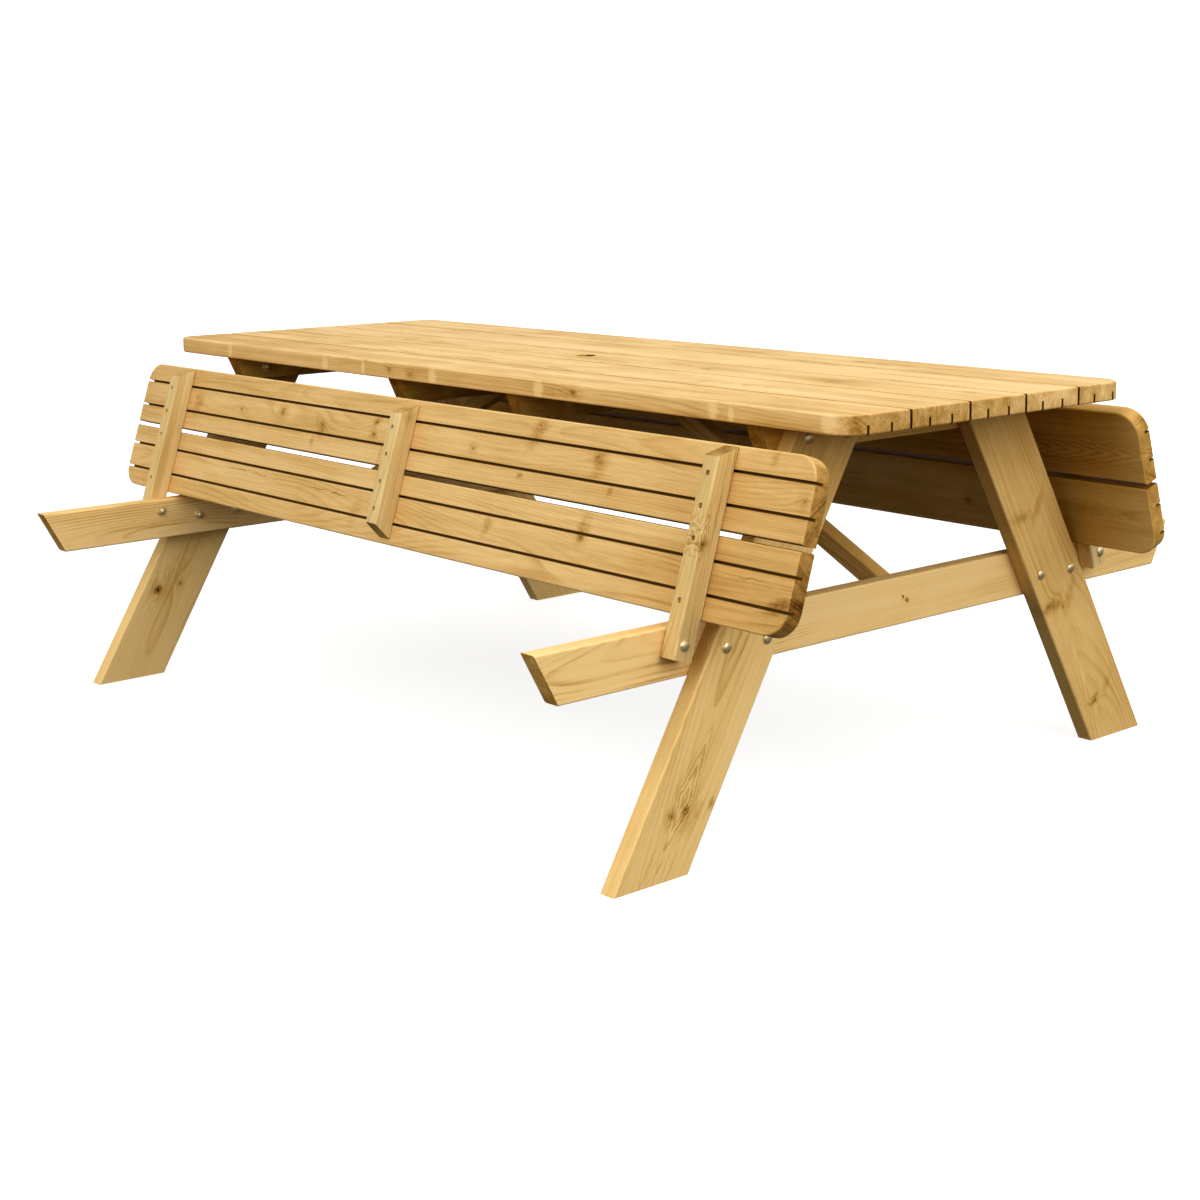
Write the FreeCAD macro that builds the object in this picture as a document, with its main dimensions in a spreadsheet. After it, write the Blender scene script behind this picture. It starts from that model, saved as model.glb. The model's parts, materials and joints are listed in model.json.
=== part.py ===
import FreeCAD, Part
import math
import os

import Sketcher
from FreeCAD import Placement, Rotation, Vector

# Convertible picnic table bench: a tabletop on two A-frames, with a seat hinged
# to the cross-beams on each long side. X runs along the table, Y across it, Z up.
# The origin lies on the floor under the middle of the tabletop, and both seats
# are folded up. All sizes are in millimetres and degrees.

SIZES = [
    ("table_height", 750, "floor to the tabletop's upper face"),
    ("table_length", 2150, "length of the tabletop"),
    ("board_thickness", 34, "thickness of the tabletop and seat boards"),
    ("top_board_width", 144, "width of a tabletop board"),
    ("top_board_gap", 6, "gap between two tabletop boards"),
    ("top_corner_radius", 50, "rounded corners of the tabletop in plan"),
    ("arris_radius", 4, "rounding along the edges of all timber"),
    ("groove_width", 4.5, "width of a relief groove under a board"),
    ("groove_depth", 15.5, "depth of a relief groove"),
    ("groove_spacing", 56, "distance between a board's two grooves"),
    ("parasol_hole", 42, "diameter of the hole for a parasol pole"),
    ("end_overhang", 179, "tabletop end to the outer faces of the legs"),
    ("leg_thickness", 34, "thickness of a leg"),
    ("leg_width", 140, "width of a leg, square to its length"),
    ("leg_foot_spread", 633, "table middle to the middle of a foot"),
    ("leg_top_spread", 210.5, "table middle to the middle of a leg's top"),
    ("beam_thickness", 34, "thickness of a cross-beam"),
    ("beam_depth", 88, "height of a cross-beam"),
    ("beam_top_height", 408, "floor to the upper edge of a cross-beam"),
    ("beam_end_cut", 48, "how far the lower corner of a beam is cut back"),
    ("batten_thickness", 34, "thickness of a batten under the tabletop"),
    ("batten_depth", 54, "height of a batten"),
    ("batten_inset", 16, "tabletop edge to the upper end of a batten"),
    ("batten_end_cut", 25, "how far the lower corner of a batten is cut back"),
    ("middle_batten_place", 196, "table middle to the middle of an inner batten"),
    ("brace_thickness", 34, "thickness of a diagonal brace"),
    ("brace_depth", 36, "width of a brace, square to its length"),
    ("brace_drop", 1, "beam's upper edge to the upper edge of the brace"),
    ("brace_top_flat", 8, "level cut where a brace meets the tabletop"),
    ("seat_length", 2150, "length of a seat"),
    ("seat_board_width", 140, "width of a seat board"),
    ("seat_board_gap", 9, "gap between the two boards of a seat"),
    ("seat_corner_radius", 45, "rounded corners of a seat"),
    ("seat_tilt", 17.5, "lean of a folded seat from the vertical"),
    ("seat_overhang", 53, "lowered seat's outer edge beyond the beam's end"),
    ("seat_rest_gap", 0.4, "clearance between a seat and the beam it rests on"),
    ("seat_leg_gap", 2.2, "clearance between a seat and the legs' front edges"),
    ("pivot_drop", 25, "pivot below the upper edge of the cross-beam"),
    ("cleat_thickness", 34, "thickness of a cleat under a seat"),
    ("cleat_depth", 42, "height of a cleat"),
    ("cleat_tail", 26, "pivot to the square end of an end cleat"),
    ("cleat_bevel", 24, "how far a bevelled cleat end is cut back"),
    ("end_cleat_inset", 3, "seat's outer edge to the end of an end cleat"),
    ("middle_cleat_inset", 11, "seat's edges to the ends of the middle cleat"),
    ("cleat_side_gap", 0.6, "clearance between an end cleat and its beam"),
    ("bolt_diameter", 8, "shank of the carriage bolts"),
    ("bolt_head_diameter", 20, "domed head of the carriage bolts"),
    ("bolt_head_height", 5, "height of the domed head"),
    ("bolt_neck_length", 5, "length of the square neck under the head"),
    ("bolt_spread", 47, "leg's middle line to each of its bolts"),
    ("bolt_end_length", 4, "bolt's end beyond its nut"),
    ("bolt_hole_gap", 0.2, "radial clearance of a fixed bolt in its hole"),
    ("pivot_hole_gap", 0.05, "radial clearance of a pivot bolt in its beam"),
    ("washer_diameter", 21, "outer diameter of a washer"),
    ("washer_thickness", 1.6, "thickness of a washer"),
    ("nut_width", 13, "nut across its flats"),
    ("nut_height", 6.5, "height of a nut"),
    ("nut_play", 0.05, "radial clearance of washers and nuts on a bolt"),
    ("screw_diameter", 4.5, "shank of the wood screws"),
    ("screw_head_diameter", 8.6, "countersunk head of the wood screws"),
    ("screw_head_height", 2.4, "height of the countersunk head"),
    ("screw_cover", 10, "wood left beyond the point of a screw in a board"),
    ("screw_recess_diameter", 9, "counterbore above a screw head"),
    ("cleat_recess_depth", 4, "depth of the counterbore in a cleat"),
    ("batten_recess_depth", 14, "depth of the counterbore in a batten"),
    ("brace_recess_depth", 3, "depth of the slanted hole over a brace screw"),
    ("brace_screw_bite", 24, "length of a brace screw in the brace"),
    ("top_screw_spread", 14, "board's middle to each of its screws"),
    ("cleat_screw_inset", 22.5, "board's inner edge to its first cleat screw"),
    ("cleat_screw_pitch", 54, "distance between a board's two cleat screws"),
    ("end_screw_low", 25, "seat's inner edge to an end cleat's first screw"),
    ("end_screw_side", 13.5, "second end cleat screw to its board's edge"),
    ("end_screw_third", 31, "outer board's edge to its first end cleat screw"),
    ("brace_screw_offset", 10, "lower brace screw beside the brace's middle"),
]

TOP_BOARDS = 5
SEAT_BOARDS = 2
NUT_SIDES = 6
TOLERANCE = 1e-6
LEAST_CUT = 1

document = FreeCAD.newDocument("picnic_table")
sheet = document.addObject("Spreadsheet::Sheet", "Sizes")
for row, (alias, size, meaning) in enumerate(SIZES, start=1):
    sheet.set(f"A{row}", meaning)
    sheet.set(f"B{row}", str(size))
    sheet.setAlias(f"B{row}", alias)
document.recompute()

# Each derived size is an expression on the sheet's cells, kept in one place.
UNDERSIDE = "(Sizes.table_height - Sizes.board_thickness)"
TOP_PITCH = "(Sizes.top_board_width + Sizes.top_board_gap)"
TOP_WIDTH = f"({TOP_BOARDS} * Sizes.top_board_width + {TOP_BOARDS - 1} * Sizes.top_board_gap)"
SEAT_PITCH = "(Sizes.seat_board_width + Sizes.seat_board_gap)"
SEAT_DEPTH = f"({SEAT_BOARDS} * Sizes.seat_board_width + {SEAT_BOARDS - 1} * Sizes.seat_board_gap)"

LEG_FACE = "(Sizes.table_length / 2 - Sizes.end_overhang)"
BEAM_FACE = f"({LEG_FACE} - Sizes.leg_thickness)"
BEAM_INNER = f"({BEAM_FACE} - Sizes.beam_thickness)"
END_BATTEN_INNER = f"({BEAM_FACE} - Sizes.batten_thickness)"
MIDDLE_BATTEN_INNER = "(Sizes.middle_batten_place - Sizes.batten_thickness / 2)"
MIDDLE_BATTEN_OUTER = "(Sizes.middle_batten_place + Sizes.batten_thickness / 2)"

LEG_SLOPE = f"((Sizes.leg_foot_spread - Sizes.leg_top_spread) / {UNDERSIDE})"
LEG_STRETCH = f"sqrt(1 + {LEG_SLOPE} ^ 2)"
LEG_HALF = f"(Sizes.leg_width / 2 * {LEG_STRETCH})"

BEAM_BOTTOM = "(Sizes.beam_top_height - Sizes.beam_depth)"
BEAM_MIDDLE = "(Sizes.beam_top_height - Sizes.beam_depth / 2)"
BATTEN_BOTTOM = f"({UNDERSIDE} - Sizes.batten_depth)"
BATTEN_MIDDLE = f"({UNDERSIDE} - Sizes.batten_depth / 2)"
BATTEN_REACH = f"({TOP_WIDTH} / 2 - Sizes.batten_inset)"


def leg_line(height):
    """Distance of a leg's middle line from the table's middle at a height."""
    return f"(Sizes.leg_foot_spread - {LEG_SLOPE} * {height})"


# A lowered seat rests on the beams. Folded up, the rounded edge of its inner
# board stands on the same beams, which sets that edge's distance from the pivot.
PIVOT_HEIGHT = "(Sizes.beam_top_height - Sizes.pivot_drop)"
SEAT_PLANE = "(Sizes.pivot_drop + Sizes.seat_rest_gap)"
PIVOT_OFFSET = "(Sizes.pivot_drop + Sizes.board_thickness + Sizes.seat_leg_gap)"
PIVOT_SPREAD = f"({leg_line(PIVOT_HEIGHT)} + {LEG_HALF} + {PIVOT_OFFSET} * {LEG_STRETCH})"
STOP_HEIGHT = "(Sizes.pivot_drop + Sizes.seat_rest_gap + Sizes.arris_radius)"
STOP_DEPTH = f"({SEAT_PLANE} + Sizes.board_thickness - Sizes.arris_radius)"
TILT = "(Sizes.seat_tilt * 1deg)"
SEAT_EDGE = (
    f"(({STOP_HEIGHT} + {STOP_DEPTH} * sin({TILT})) / cos({TILT}) - Sizes.arris_radius)"
)
BEAM_REACH = f"({PIVOT_SPREAD} + {SEAT_EDGE} + {SEAT_DEPTH} - Sizes.seat_overhang)"
CLEAT_FACE = f"({SEAT_PLANE} - Sizes.cleat_depth)"
CLEAT_INNER = f"({BEAM_FACE} + Sizes.cleat_side_gap)"

BRACE_LOW = "(Sizes.beam_top_height - Sizes.brace_drop)"
BRACE_FLAT = f"({MIDDLE_BATTEN_OUTER} + Sizes.brace_top_flat)"
BRACE_SLOPE = f"(({UNDERSIDE} - {BRACE_LOW}) / ({BEAM_INNER} - {BRACE_FLAT}))"
BRACE_FALL = f"(Sizes.brace_depth * sqrt(1 + {BRACE_SLOPE} ^ 2))"
BRACE_END = f"({UNDERSIDE} + {BRACE_SLOPE} * Sizes.brace_top_flat - {BRACE_FALL})"
# The lower screw of a brace runs up through the beam along the brace's middle.
BRACE_ANGLE = f"atan({BRACE_SLOPE})"
BRACE_SCREW_HEIGHT = f"({BRACE_LOW} - {BRACE_FALL} / 2 - {BRACE_SLOPE} * Sizes.beam_thickness)"
BRACE_TOP_SCREW_HEIGHT = f"(({UNDERSIDE} + {BRACE_END}) / 2)"

LEG_BOLT_HOLE = "(Sizes.bolt_diameter + 2 * Sizes.bolt_hole_gap)"
PIVOT_HOLE = "(Sizes.bolt_diameter + 2 * Sizes.pivot_hole_gap)"
BOARD_BITE = "(Sizes.board_thickness - Sizes.screw_cover)"

UP = Vector(0, 0, 1)
ACROSS = Vector(0, 1, 0)
ALONG = Vector(1, 0, 0)
INWARD = Vector(-1, 0, 0)
HALF_TURN = Rotation(UP, 180)
QUARTER_UP = Rotation(ACROSS, 90)

finished = []


def value(expression):
    """Number that an expression on the sheet gives."""
    result = sheet.evalExpression(expression)
    return float(getattr(result, "Value", result))


def origin_plane(body, role):
    for feature in body.Origin.OriginFeatures:
        if feature.Role == role:
            return feature
    raise ValueError(f"no plane {role} in {body.Name}")


def new_body(name, place=("0", "0", "0"), turn=None):
    """Body with a bound place, and a bound turn about X where one is given."""
    body = document.addObject("PartDesign::Body", name)
    body.Label = name
    if turn:
        body.Placement = Placement(Vector(), Rotation(ALONG, value(turn)))
        body.setExpression("Placement.Rotation.Angle", turn)
    for axis, expression in zip("xyz", place):
        if expression != "0":
            body.setExpression(f"Placement.Base.{axis}", expression)
    finished.append(body)
    return body


def new_sketch(body, name, role, offset=None):
    sketch = body.newObject("Sketcher::SketchObject", f"{body.Name}_{name}")
    sketch.AttachmentSupport = (origin_plane(body, role), [""])
    sketch.MapMode = "FlatFace"
    if offset:
        sketch.setExpression("AttachmentOffset.Base.z", offset)
    return sketch


def bind(sketch, kind, items, expression):
    """Constraint with the size that an expression gives."""
    number = sketch.addConstraint(Sketcher.Constraint(kind, *items, value(expression)))
    sketch.setExpression(f"Constraints[{number}]", expression)


def pin_point(sketch, geometry, end, across, along):
    """Fix a point of the sketch at two expressions from the origin."""
    if across == "0":
        sketch.addConstraint(Sketcher.Constraint("PointOnObject", geometry, end, -2))
    else:
        bind(sketch, "DistanceX", (-1, 1, geometry, end), across)
    if along == "0":
        sketch.addConstraint(Sketcher.Constraint("PointOnObject", geometry, end, -1))
    else:
        bind(sketch, "DistanceY", (-1, 1, geometry, end), along)


def add_outline(sketch, corners):
    """Closed outline through corners, each a pair of expressions."""
    first = sketch.GeometryCount
    points = [Vector(value(across), value(along), 0) for across, along in corners]
    count = len(points)
    for index in range(count):
        sketch.addGeometry(Part.LineSegment(points[index], points[(index + 1) % count]))
    for index in range(count):
        joined = first + (index + 1) % count
        sketch.addConstraint(Sketcher.Constraint("Coincident", first + index, 2, joined, 1))
    for index, (across, along) in enumerate(corners):
        pin_point(sketch, first + index, 1, across, along)


def rectangle(low_x, high_x, low_y, high_y):
    return [(low_x, low_y), (high_x, low_y), (high_x, high_y), (low_x, high_y)]


def add_pad(body, name, sketch, length, middle=False):
    pad = body.newObject("PartDesign::Pad", f"{body.Name}_{name}")
    pad.Profile = sketch
    pad.Midplane = middle
    pad.setExpression("Length", length)
    document.recompute()


def add_pocket(body, name, sketch, depth=None, middle=False, heading=None):
    """Cut a sketch into the solid: right through, or by a depth.

    It cuts towards the plane's positive side, or along heading where that is given.
    """
    before = body.Shape.Volume
    pocket = body.newObject("PartDesign::Pocket", f"{body.Name}_{name}")
    pocket.Profile = sketch
    pocket.Midplane = middle
    pocket.Reversed = not middle
    if heading:
        pocket.Reversed = False
        pocket.UseCustomVector = True
        pocket.Direction = heading
    if depth:
        pocket.setExpression("Length", depth)
    else:
        pocket.Type = "ThroughAll"
    document.recompute()
    if body.Shape.Volume > before - LEAST_CUT:
        raise ValueError(f"{pocket.Name} cuts nothing")


def add_fillet(body, name, wanted, radius):
    """Round the edges of the body's newest feature for which wanted is true."""
    base = body.Tip
    edges = [
        f"Edge{number}"
        for number, edge in enumerate(base.Shape.Edges, start=1)
        if wanted(edge)
    ]
    if not edges:
        raise ValueError(f"{body.Name} has no edges for {name}")
    fillet = body.newObject("PartDesign::Fillet", f"{body.Name}_{name}")
    fillet.Base = (base, edges)
    fillet.setExpression("Radius", radius)
    document.recompute()


def cut_circles(body, name, role, centres, diameter, depth=None, offset=None, heading=None):
    """Round holes at pairs of expressions on a plane of the body, or beside it."""
    sketch = new_sketch(body, f"{name}_places", role, offset)
    for across, along in centres:
        centre = Vector(value(across), value(along), 0)
        circle = sketch.addGeometry(Part.Circle(centre, UP, value(diameter) / 2))
        pin_point(sketch, circle, 3, across, along)
        bind(sketch, "Diameter", (circle,), diameter)
    add_pocket(body, name, sketch, depth, heading=heading)


def runs_along(edge, axis):
    """True for a straight edge parallel to a direction."""
    straight = isinstance(edge.Curve, Part.Line)
    return straight and edge.Curve.Direction.cross(axis).Length < TOLERANCE


def lies_level(edge):
    """True for an edge all of whose points are at one height."""
    box = edge.BoundBox
    return box.ZMax - box.ZMin < TOLERANCE


def cut_grooves(body, centre, floor):
    """Two relief grooves along the underside of a board."""
    sketch = new_sketch(body, "groove_outline", "YZ_Plane")
    for side in ("-", "+"):
        middle = f"({centre} {side} Sizes.groove_spacing / 2)"
        low = f"({middle} - Sizes.groove_width / 2)"
        high = f"({middle} + Sizes.groove_width / 2)"
        # The outline starts a little below the board, so it opens the face cleanly.
        bottom = f"({floor} - Sizes.groove_width)"
        add_outline(sketch, rectangle(low, high, bottom, f"({floor} + Sizes.groove_depth)"))
    add_pocket(body, "grooves", sketch, middle=True)


def make_board(body, centre, width, length, floor, round_side, radius):
    """Board with its middle line at y = centre and its underside at z = floor.

    round_side is -1 or 1 for the long side whose two corners are rounded, or 0.
    """
    offset = None if floor == "0" else floor
    sketch = new_sketch(body, "plan", "XY_Plane", offset)
    low = f"({centre} - {width} / 2)"
    high = f"({centre} + {width} / 2)"
    add_outline(sketch, rectangle(f"(-{length} / 2)", f"({length} / 2)", low, high))
    add_pad(body, "plank", sketch, "Sizes.board_thickness")
    middle = value(centre)
    if round_side:
        add_fillet(
            body,
            "corners",
            lambda edge: runs_along(edge, UP)
            and (edge.CenterOfMass.y - middle) * round_side > 0,
            radius,
        )
    add_fillet(body, "arrises", lies_level, "Sizes.arris_radius")
    cut_grooves(body, centre, floor)


def make_tabletop_boards():
    for index in range(TOP_BOARDS):
        place = f"({index} - {(TOP_BOARDS - 1) / 2}) * {TOP_PITCH}"
        body = new_body(f"tabletop_board_{index + 1}", ("0", place, UNDERSIDE))
        side = {0: -1, TOP_BOARDS - 1: 1}.get(index, 0)
        make_board(
            body,
            "0",
            "Sizes.top_board_width",
            "Sizes.table_length",
            "0",
            side,
            "Sizes.top_corner_radius",
        )
        if index == TOP_BOARDS // 2:
            cut_circles(body, "parasol_bore", "XY_Plane", [("0", "0")], "Sizes.parasol_hole")


def make_plank_on_edge(name, place_x, thickness, corners):
    """Upright plank across the table: an outline in Y and Z, thick along X."""
    body = new_body(name, (place_x, "0", "0"))
    sketch = new_sketch(body, "outline", "YZ_Plane")
    add_outline(sketch, corners)
    add_pad(body, "plank", sketch, thickness)
    return body


def round_long_edges(body, direction):
    add_fillet(
        body,
        "arrises",
        lambda edge: runs_along(edge, direction),
        "Sizes.arris_radius",
    )


def make_legs():
    """Four slanted legs with level feet and level tops."""
    beam_line = leg_line(BEAM_MIDDLE)
    batten_line = leg_line(BATTEN_MIDDLE)
    sides = (("left", f"(-{LEG_FACE})"), ("right", BEAM_FACE))
    for row, sign in (("front", "-"), ("back", "")):
        corners = [
            (f"{sign}(Sizes.leg_foot_spread + {LEG_HALF})", "0"),
            (f"{sign}(Sizes.leg_foot_spread - {LEG_HALF})", "0"),
            (f"{sign}(Sizes.leg_top_spread - {LEG_HALF})", UNDERSIDE),
            (f"{sign}(Sizes.leg_top_spread + {LEG_HALF})", UNDERSIDE),
        ]
        holes = [
            (f"{sign}({line} {step} Sizes.bolt_spread)", height)
            for line, height in ((beam_line, BEAM_MIDDLE), (batten_line, BATTEN_MIDDLE))
            for step in ("-", "+")
        ]
        lean = -1 if sign else 1
        direction = Vector(0, -lean * value(LEG_SLOPE), 1).normalize()
        for side, place_x in sides:
            body = make_plank_on_edge(
                f"leg_{row}_{side}", place_x, "Sizes.leg_thickness", corners
            )
            round_long_edges(body, direction)
            cut_circles(body, "bolt_holes", "YZ_Plane", holes, LEG_BOLT_HOLE)


def crossing_outline(reach, cut, low, high):
    """Plank on edge, longer along its upper edge than along its lower one."""
    return [
        (f"(-({reach} - {cut}))", low),
        (f"({reach} - {cut})", low),
        (reach, high),
        (f"(-{reach})", high),
    ]


def leg_bolt_places(height):
    """Both legs' two bolts each, at one height."""
    return [
        (f"{sign}({leg_line(height)} {step} Sizes.bolt_spread)", height)
        for sign in ("-", "")
        for step in ("-", "+")
    ]


def make_cross_beams():
    """The two beams that tie the legs together and carry the seats."""
    corners = crossing_outline(
        BEAM_REACH, "Sizes.beam_end_cut", BEAM_BOTTOM, "Sizes.beam_top_height"
    )
    pivots = [(f"{sign}{PIVOT_SPREAD}", PIVOT_HEIGHT) for sign in ("-", "")]
    screw = [("Sizes.brace_screw_offset", BRACE_SCREW_HEIGHT)]
    ends = (
        ("left", f"(-{BEAM_FACE})", None, 1),
        ("right", BEAM_INNER, "Sizes.beam_thickness", -1),
    )
    for side, place_x, face, inward in ends:
        body = make_plank_on_edge(
            f"cross_beam_{side}", place_x, "Sizes.beam_thickness", corners
        )
        round_long_edges(body, ACROSS)
        cut_circles(
            body, "leg_holes", "YZ_Plane", leg_bolt_places(BEAM_MIDDLE), LEG_BOLT_HOLE
        )
        cut_circles(body, "pivot_holes", "YZ_Plane", pivots, PIVOT_HOLE)
        cut_circles(
            body,
            "brace_screw_hole",
            "YZ_Plane",
            screw,
            "Sizes.screw_recess_diameter",
            "Sizes.brace_recess_depth",
            face,
            Vector(inward, 0, value(BRACE_SLOPE)),
        )


def make_battens():
    """Two battens bolted to the legs and two between them, under the tabletop."""
    corners = crossing_outline(BATTEN_REACH, "Sizes.batten_end_cut", BATTEN_BOTTOM, UNDERSIDE)
    screws = [("(Sizes.batten_thickness / 2)", place) for place in top_screw_places()]
    places = (
        ("end_batten_left", f"(-{BEAM_FACE})"),
        ("end_batten_right", END_BATTEN_INNER),
        ("middle_batten_left", f"(-{MIDDLE_BATTEN_OUTER})"),
        ("middle_batten_right", MIDDLE_BATTEN_INNER),
    )
    for name, place_x in places:
        body = make_plank_on_edge(name, place_x, "Sizes.batten_thickness", corners)
        round_long_edges(body, ACROSS)
        if name.startswith("end"):
            cut_circles(
                body, "leg_holes", "YZ_Plane", leg_bolt_places(BATTEN_MIDDLE), LEG_BOLT_HOLE
            )
        cut_circles(
            body,
            "screw_recesses",
            "XY_Plane",
            screws,
            "Sizes.screw_recess_diameter",
            "Sizes.batten_recess_depth",
            BATTEN_BOTTOM,
        )


def top_screw_places():
    """Places across the table of the screws up through each batten."""
    places = []
    for index in range(TOP_BOARDS):
        centre = f"({index} - {(TOP_BOARDS - 1) / 2}) * {TOP_PITCH}"
        for step in ("-", "+"):
            places.append(f"({centre} {step} Sizes.top_screw_spread)")
    return places


def make_braces():
    """Diagonals from the cross-beams up to the inner battens."""
    for side, sign in (("left", "-"), ("right", "")):
        body = new_body(f"brace_{side}")
        sketch = new_sketch(body, "outline", "XZ_Plane")
        corners = [
            (f"{sign}{BEAM_INNER}", BRACE_LOW),
            (f"{sign}{BRACE_FLAT}", UNDERSIDE),
            (f"{sign}{MIDDLE_BATTEN_OUTER}", UNDERSIDE),
            (f"{sign}{MIDDLE_BATTEN_OUTER}", BRACE_END),
            (f"{sign}{BEAM_INNER}", f"({BRACE_LOW} - {BRACE_FALL})"),
        ]
        add_outline(sketch, corners)
        add_pad(body, "plank", sketch, "Sizes.brace_thickness", middle=True)
        lean = -1 if sign else 1
        direction = Vector(-lean, 0, value(BRACE_SLOPE)).normalize()
        round_long_edges(body, direction)


def seat_turn(sign):
    """Turn about X from lowered to folded up, for the front (-) or back seat."""
    return f"{sign}(90 + Sizes.seat_tilt)"


def seat_body(name, sign, place_x="0"):
    """Body of a seat, drawn lowered with the pivot's axis as its origin."""
    return new_body(name, (place_x, f"{sign}{PIVOT_SPREAD}", PIVOT_HEIGHT), seat_turn(sign))


def middle_screws():
    """Distances of the middle cleat's screws from the seat's inner edge."""
    split = "Sizes.seat_board_width"
    inset = "Sizes.cleat_screw_inset"
    pitch = "Sizes.cleat_screw_pitch"
    return [
        f"({split} - {inset} - {pitch})",
        f"({split} - {inset})",
        f"({SEAT_PITCH} + {inset})",
        f"({SEAT_PITCH} + {inset} + {pitch})",
    ]


def end_screws():
    """Distances of an end cleat's screws from the seat's inner edge."""
    third = f"({SEAT_PITCH} + Sizes.end_screw_third)"
    return [
        "Sizes.end_screw_low",
        "(Sizes.seat_board_width - Sizes.end_screw_side)",
        third,
        f"({third} + Sizes.cleat_screw_pitch)",
    ]


def cleat_recesses(body, sign, distances):
    half = "(Sizes.cleat_thickness / 2)"
    cut_circles(
        body,
        "screw_recesses",
        "XY_Plane",
        [(half, f"{sign}({SEAT_EDGE} + {distance})") for distance in distances],
        "Sizes.screw_recess_diameter",
        "Sizes.cleat_recess_depth",
        CLEAT_FACE,
    )


def make_end_cleat(name, sign, place_x):
    """Cleat with a square tail round the pivot bolt and a bevelled outer end."""
    outer = f"({SEAT_EDGE} + {SEAT_DEPTH} - Sizes.end_cleat_inset)"
    body = seat_body(name, sign, place_x)
    sketch = new_sketch(body, "outline", "YZ_Plane")
    tail = "" if sign else "-"
    corners = [
        (f"{tail}Sizes.cleat_tail", CLEAT_FACE),
        (f"{sign}({outer} - Sizes.cleat_bevel)", CLEAT_FACE),
        (f"{sign}{outer}", SEAT_PLANE),
        (f"{tail}Sizes.cleat_tail", SEAT_PLANE),
    ]
    add_outline(sketch, corners)
    add_pad(body, "plank", sketch, "Sizes.cleat_thickness")
    round_long_edges(body, ACROSS)
    cut_circles(body, "pivot_hole", "YZ_Plane", [("0", "0")], LEG_BOLT_HOLE)
    cleat_recesses(body, sign, end_screws())


def make_middle_cleat(name, sign):
    """Short cleat with both ends bevelled."""
    near = f"({SEAT_EDGE} + Sizes.middle_cleat_inset)"
    far = f"({SEAT_EDGE} + {SEAT_DEPTH} - Sizes.middle_cleat_inset)"
    body = seat_body(name, sign, "(-Sizes.cleat_thickness / 2)")
    sketch = new_sketch(body, "outline", "YZ_Plane")
    corners = [
        (f"{sign}({near} + Sizes.cleat_bevel)", CLEAT_FACE),
        (f"{sign}({far} - Sizes.cleat_bevel)", CLEAT_FACE),
        (f"{sign}{far}", SEAT_PLANE),
        (f"{sign}{near}", SEAT_PLANE),
    ]
    add_outline(sketch, corners)
    add_pad(body, "plank", sketch, "Sizes.cleat_thickness")
    round_long_edges(body, ACROSS)
    cleat_recesses(body, sign, middle_screws())


def make_seat(row, sign):
    """One seat: two boards on three cleats, folded up about its pivot."""
    side = -1 if sign else 1
    for index, label in enumerate(("inner", "outer")):
        body = seat_body(f"seat_{row}_{label}_board", sign)
        width = "Sizes.seat_board_width"
        centre = f"{sign}({SEAT_EDGE} + {index} * {SEAT_PITCH} + {width} / 2)"
        rounded = side if index else -side
        make_board(
            body,
            centre,
            width,
            "Sizes.seat_length",
            SEAT_PLANE,
            rounded,
            "Sizes.seat_corner_radius",
        )
    make_end_cleat(f"seat_{row}_left_cleat", sign, f"(-{CLEAT_INNER} - Sizes.cleat_thickness)")
    make_middle_cleat(f"seat_{row}_middle_cleat", sign)
    make_end_cleat(f"seat_{row}_right_cleat", sign, CLEAT_INNER)


def bolt_solid(grip):
    """Carriage bolt along -X: head's flat at x = 0, then a square neck and shank."""
    radius = value("Sizes.bolt_diameter") / 2
    head = value("Sizes.bolt_head_diameter") / 2
    rise = value("Sizes.bolt_head_height")
    neck = value("Sizes.bolt_neck_length")
    beyond = value("Sizes.washer_thickness + Sizes.nut_height + Sizes.bolt_end_length")
    # The head is a cap of a ball, drawn as an arc through the point halfway up it.
    ball = (head**2 + rise**2) / (2 * rise)
    halfway = math.asin(head / ball) / 2
    base = Vector(0, head, 0)
    crown = Vector(rise, 0, 0)
    between = Vector(rise - ball * (1 - math.cos(halfway)), ball * math.sin(halfway), 0)
    edges = [
        Part.LineSegment(Vector(), base),
        Part.Arc(base, between, crown),
        Part.LineSegment(crown, Vector()),
    ]
    outline = Part.Wire([edge.toShape() for edge in edges])
    cap = Part.Face(outline).revolve(Vector(), ALONG, 360)
    square = Part.makeBox(neck, 2 * radius, 2 * radius, Vector(-neck, -radius, -radius))
    shank = Part.makeCylinder(radius, grip + beyond, Vector(), INWARD)
    return cap.fuse([square, shank]).removeSplitter()


def washer_solid():
    """Washer with one face at x = 0, thick towards -X."""
    hole = value("Sizes.bolt_diameter / 2 + Sizes.nut_play")
    thick = value("Sizes.washer_thickness")
    disc = Part.makeCylinder(value("Sizes.washer_diameter") / 2, thick, Vector(), INWARD)
    return disc.cut(Part.makeCylinder(hole, thick, Vector(), INWARD))


def nut_solid():
    """Hexagon nut with one face at x = 0, thick towards -X."""
    hole = value("Sizes.bolt_diameter / 2 + Sizes.nut_play")
    thick = value("Sizes.nut_height")
    corner = Vector(0, value("Sizes.nut_width") / 2 / math.cos(math.pi / NUT_SIDES), 0)
    turns = [Rotation(ALONG, 360 / NUT_SIDES * index) for index in range(NUT_SIDES + 1)]
    outline = Part.makePolygon([turn.multVec(corner) for turn in turns])
    prism = Part.Face(outline).extrude(Vector(-thick, 0, 0))
    return prism.cut(Part.makeCylinder(hole, thick, Vector(), INWARD))


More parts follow.
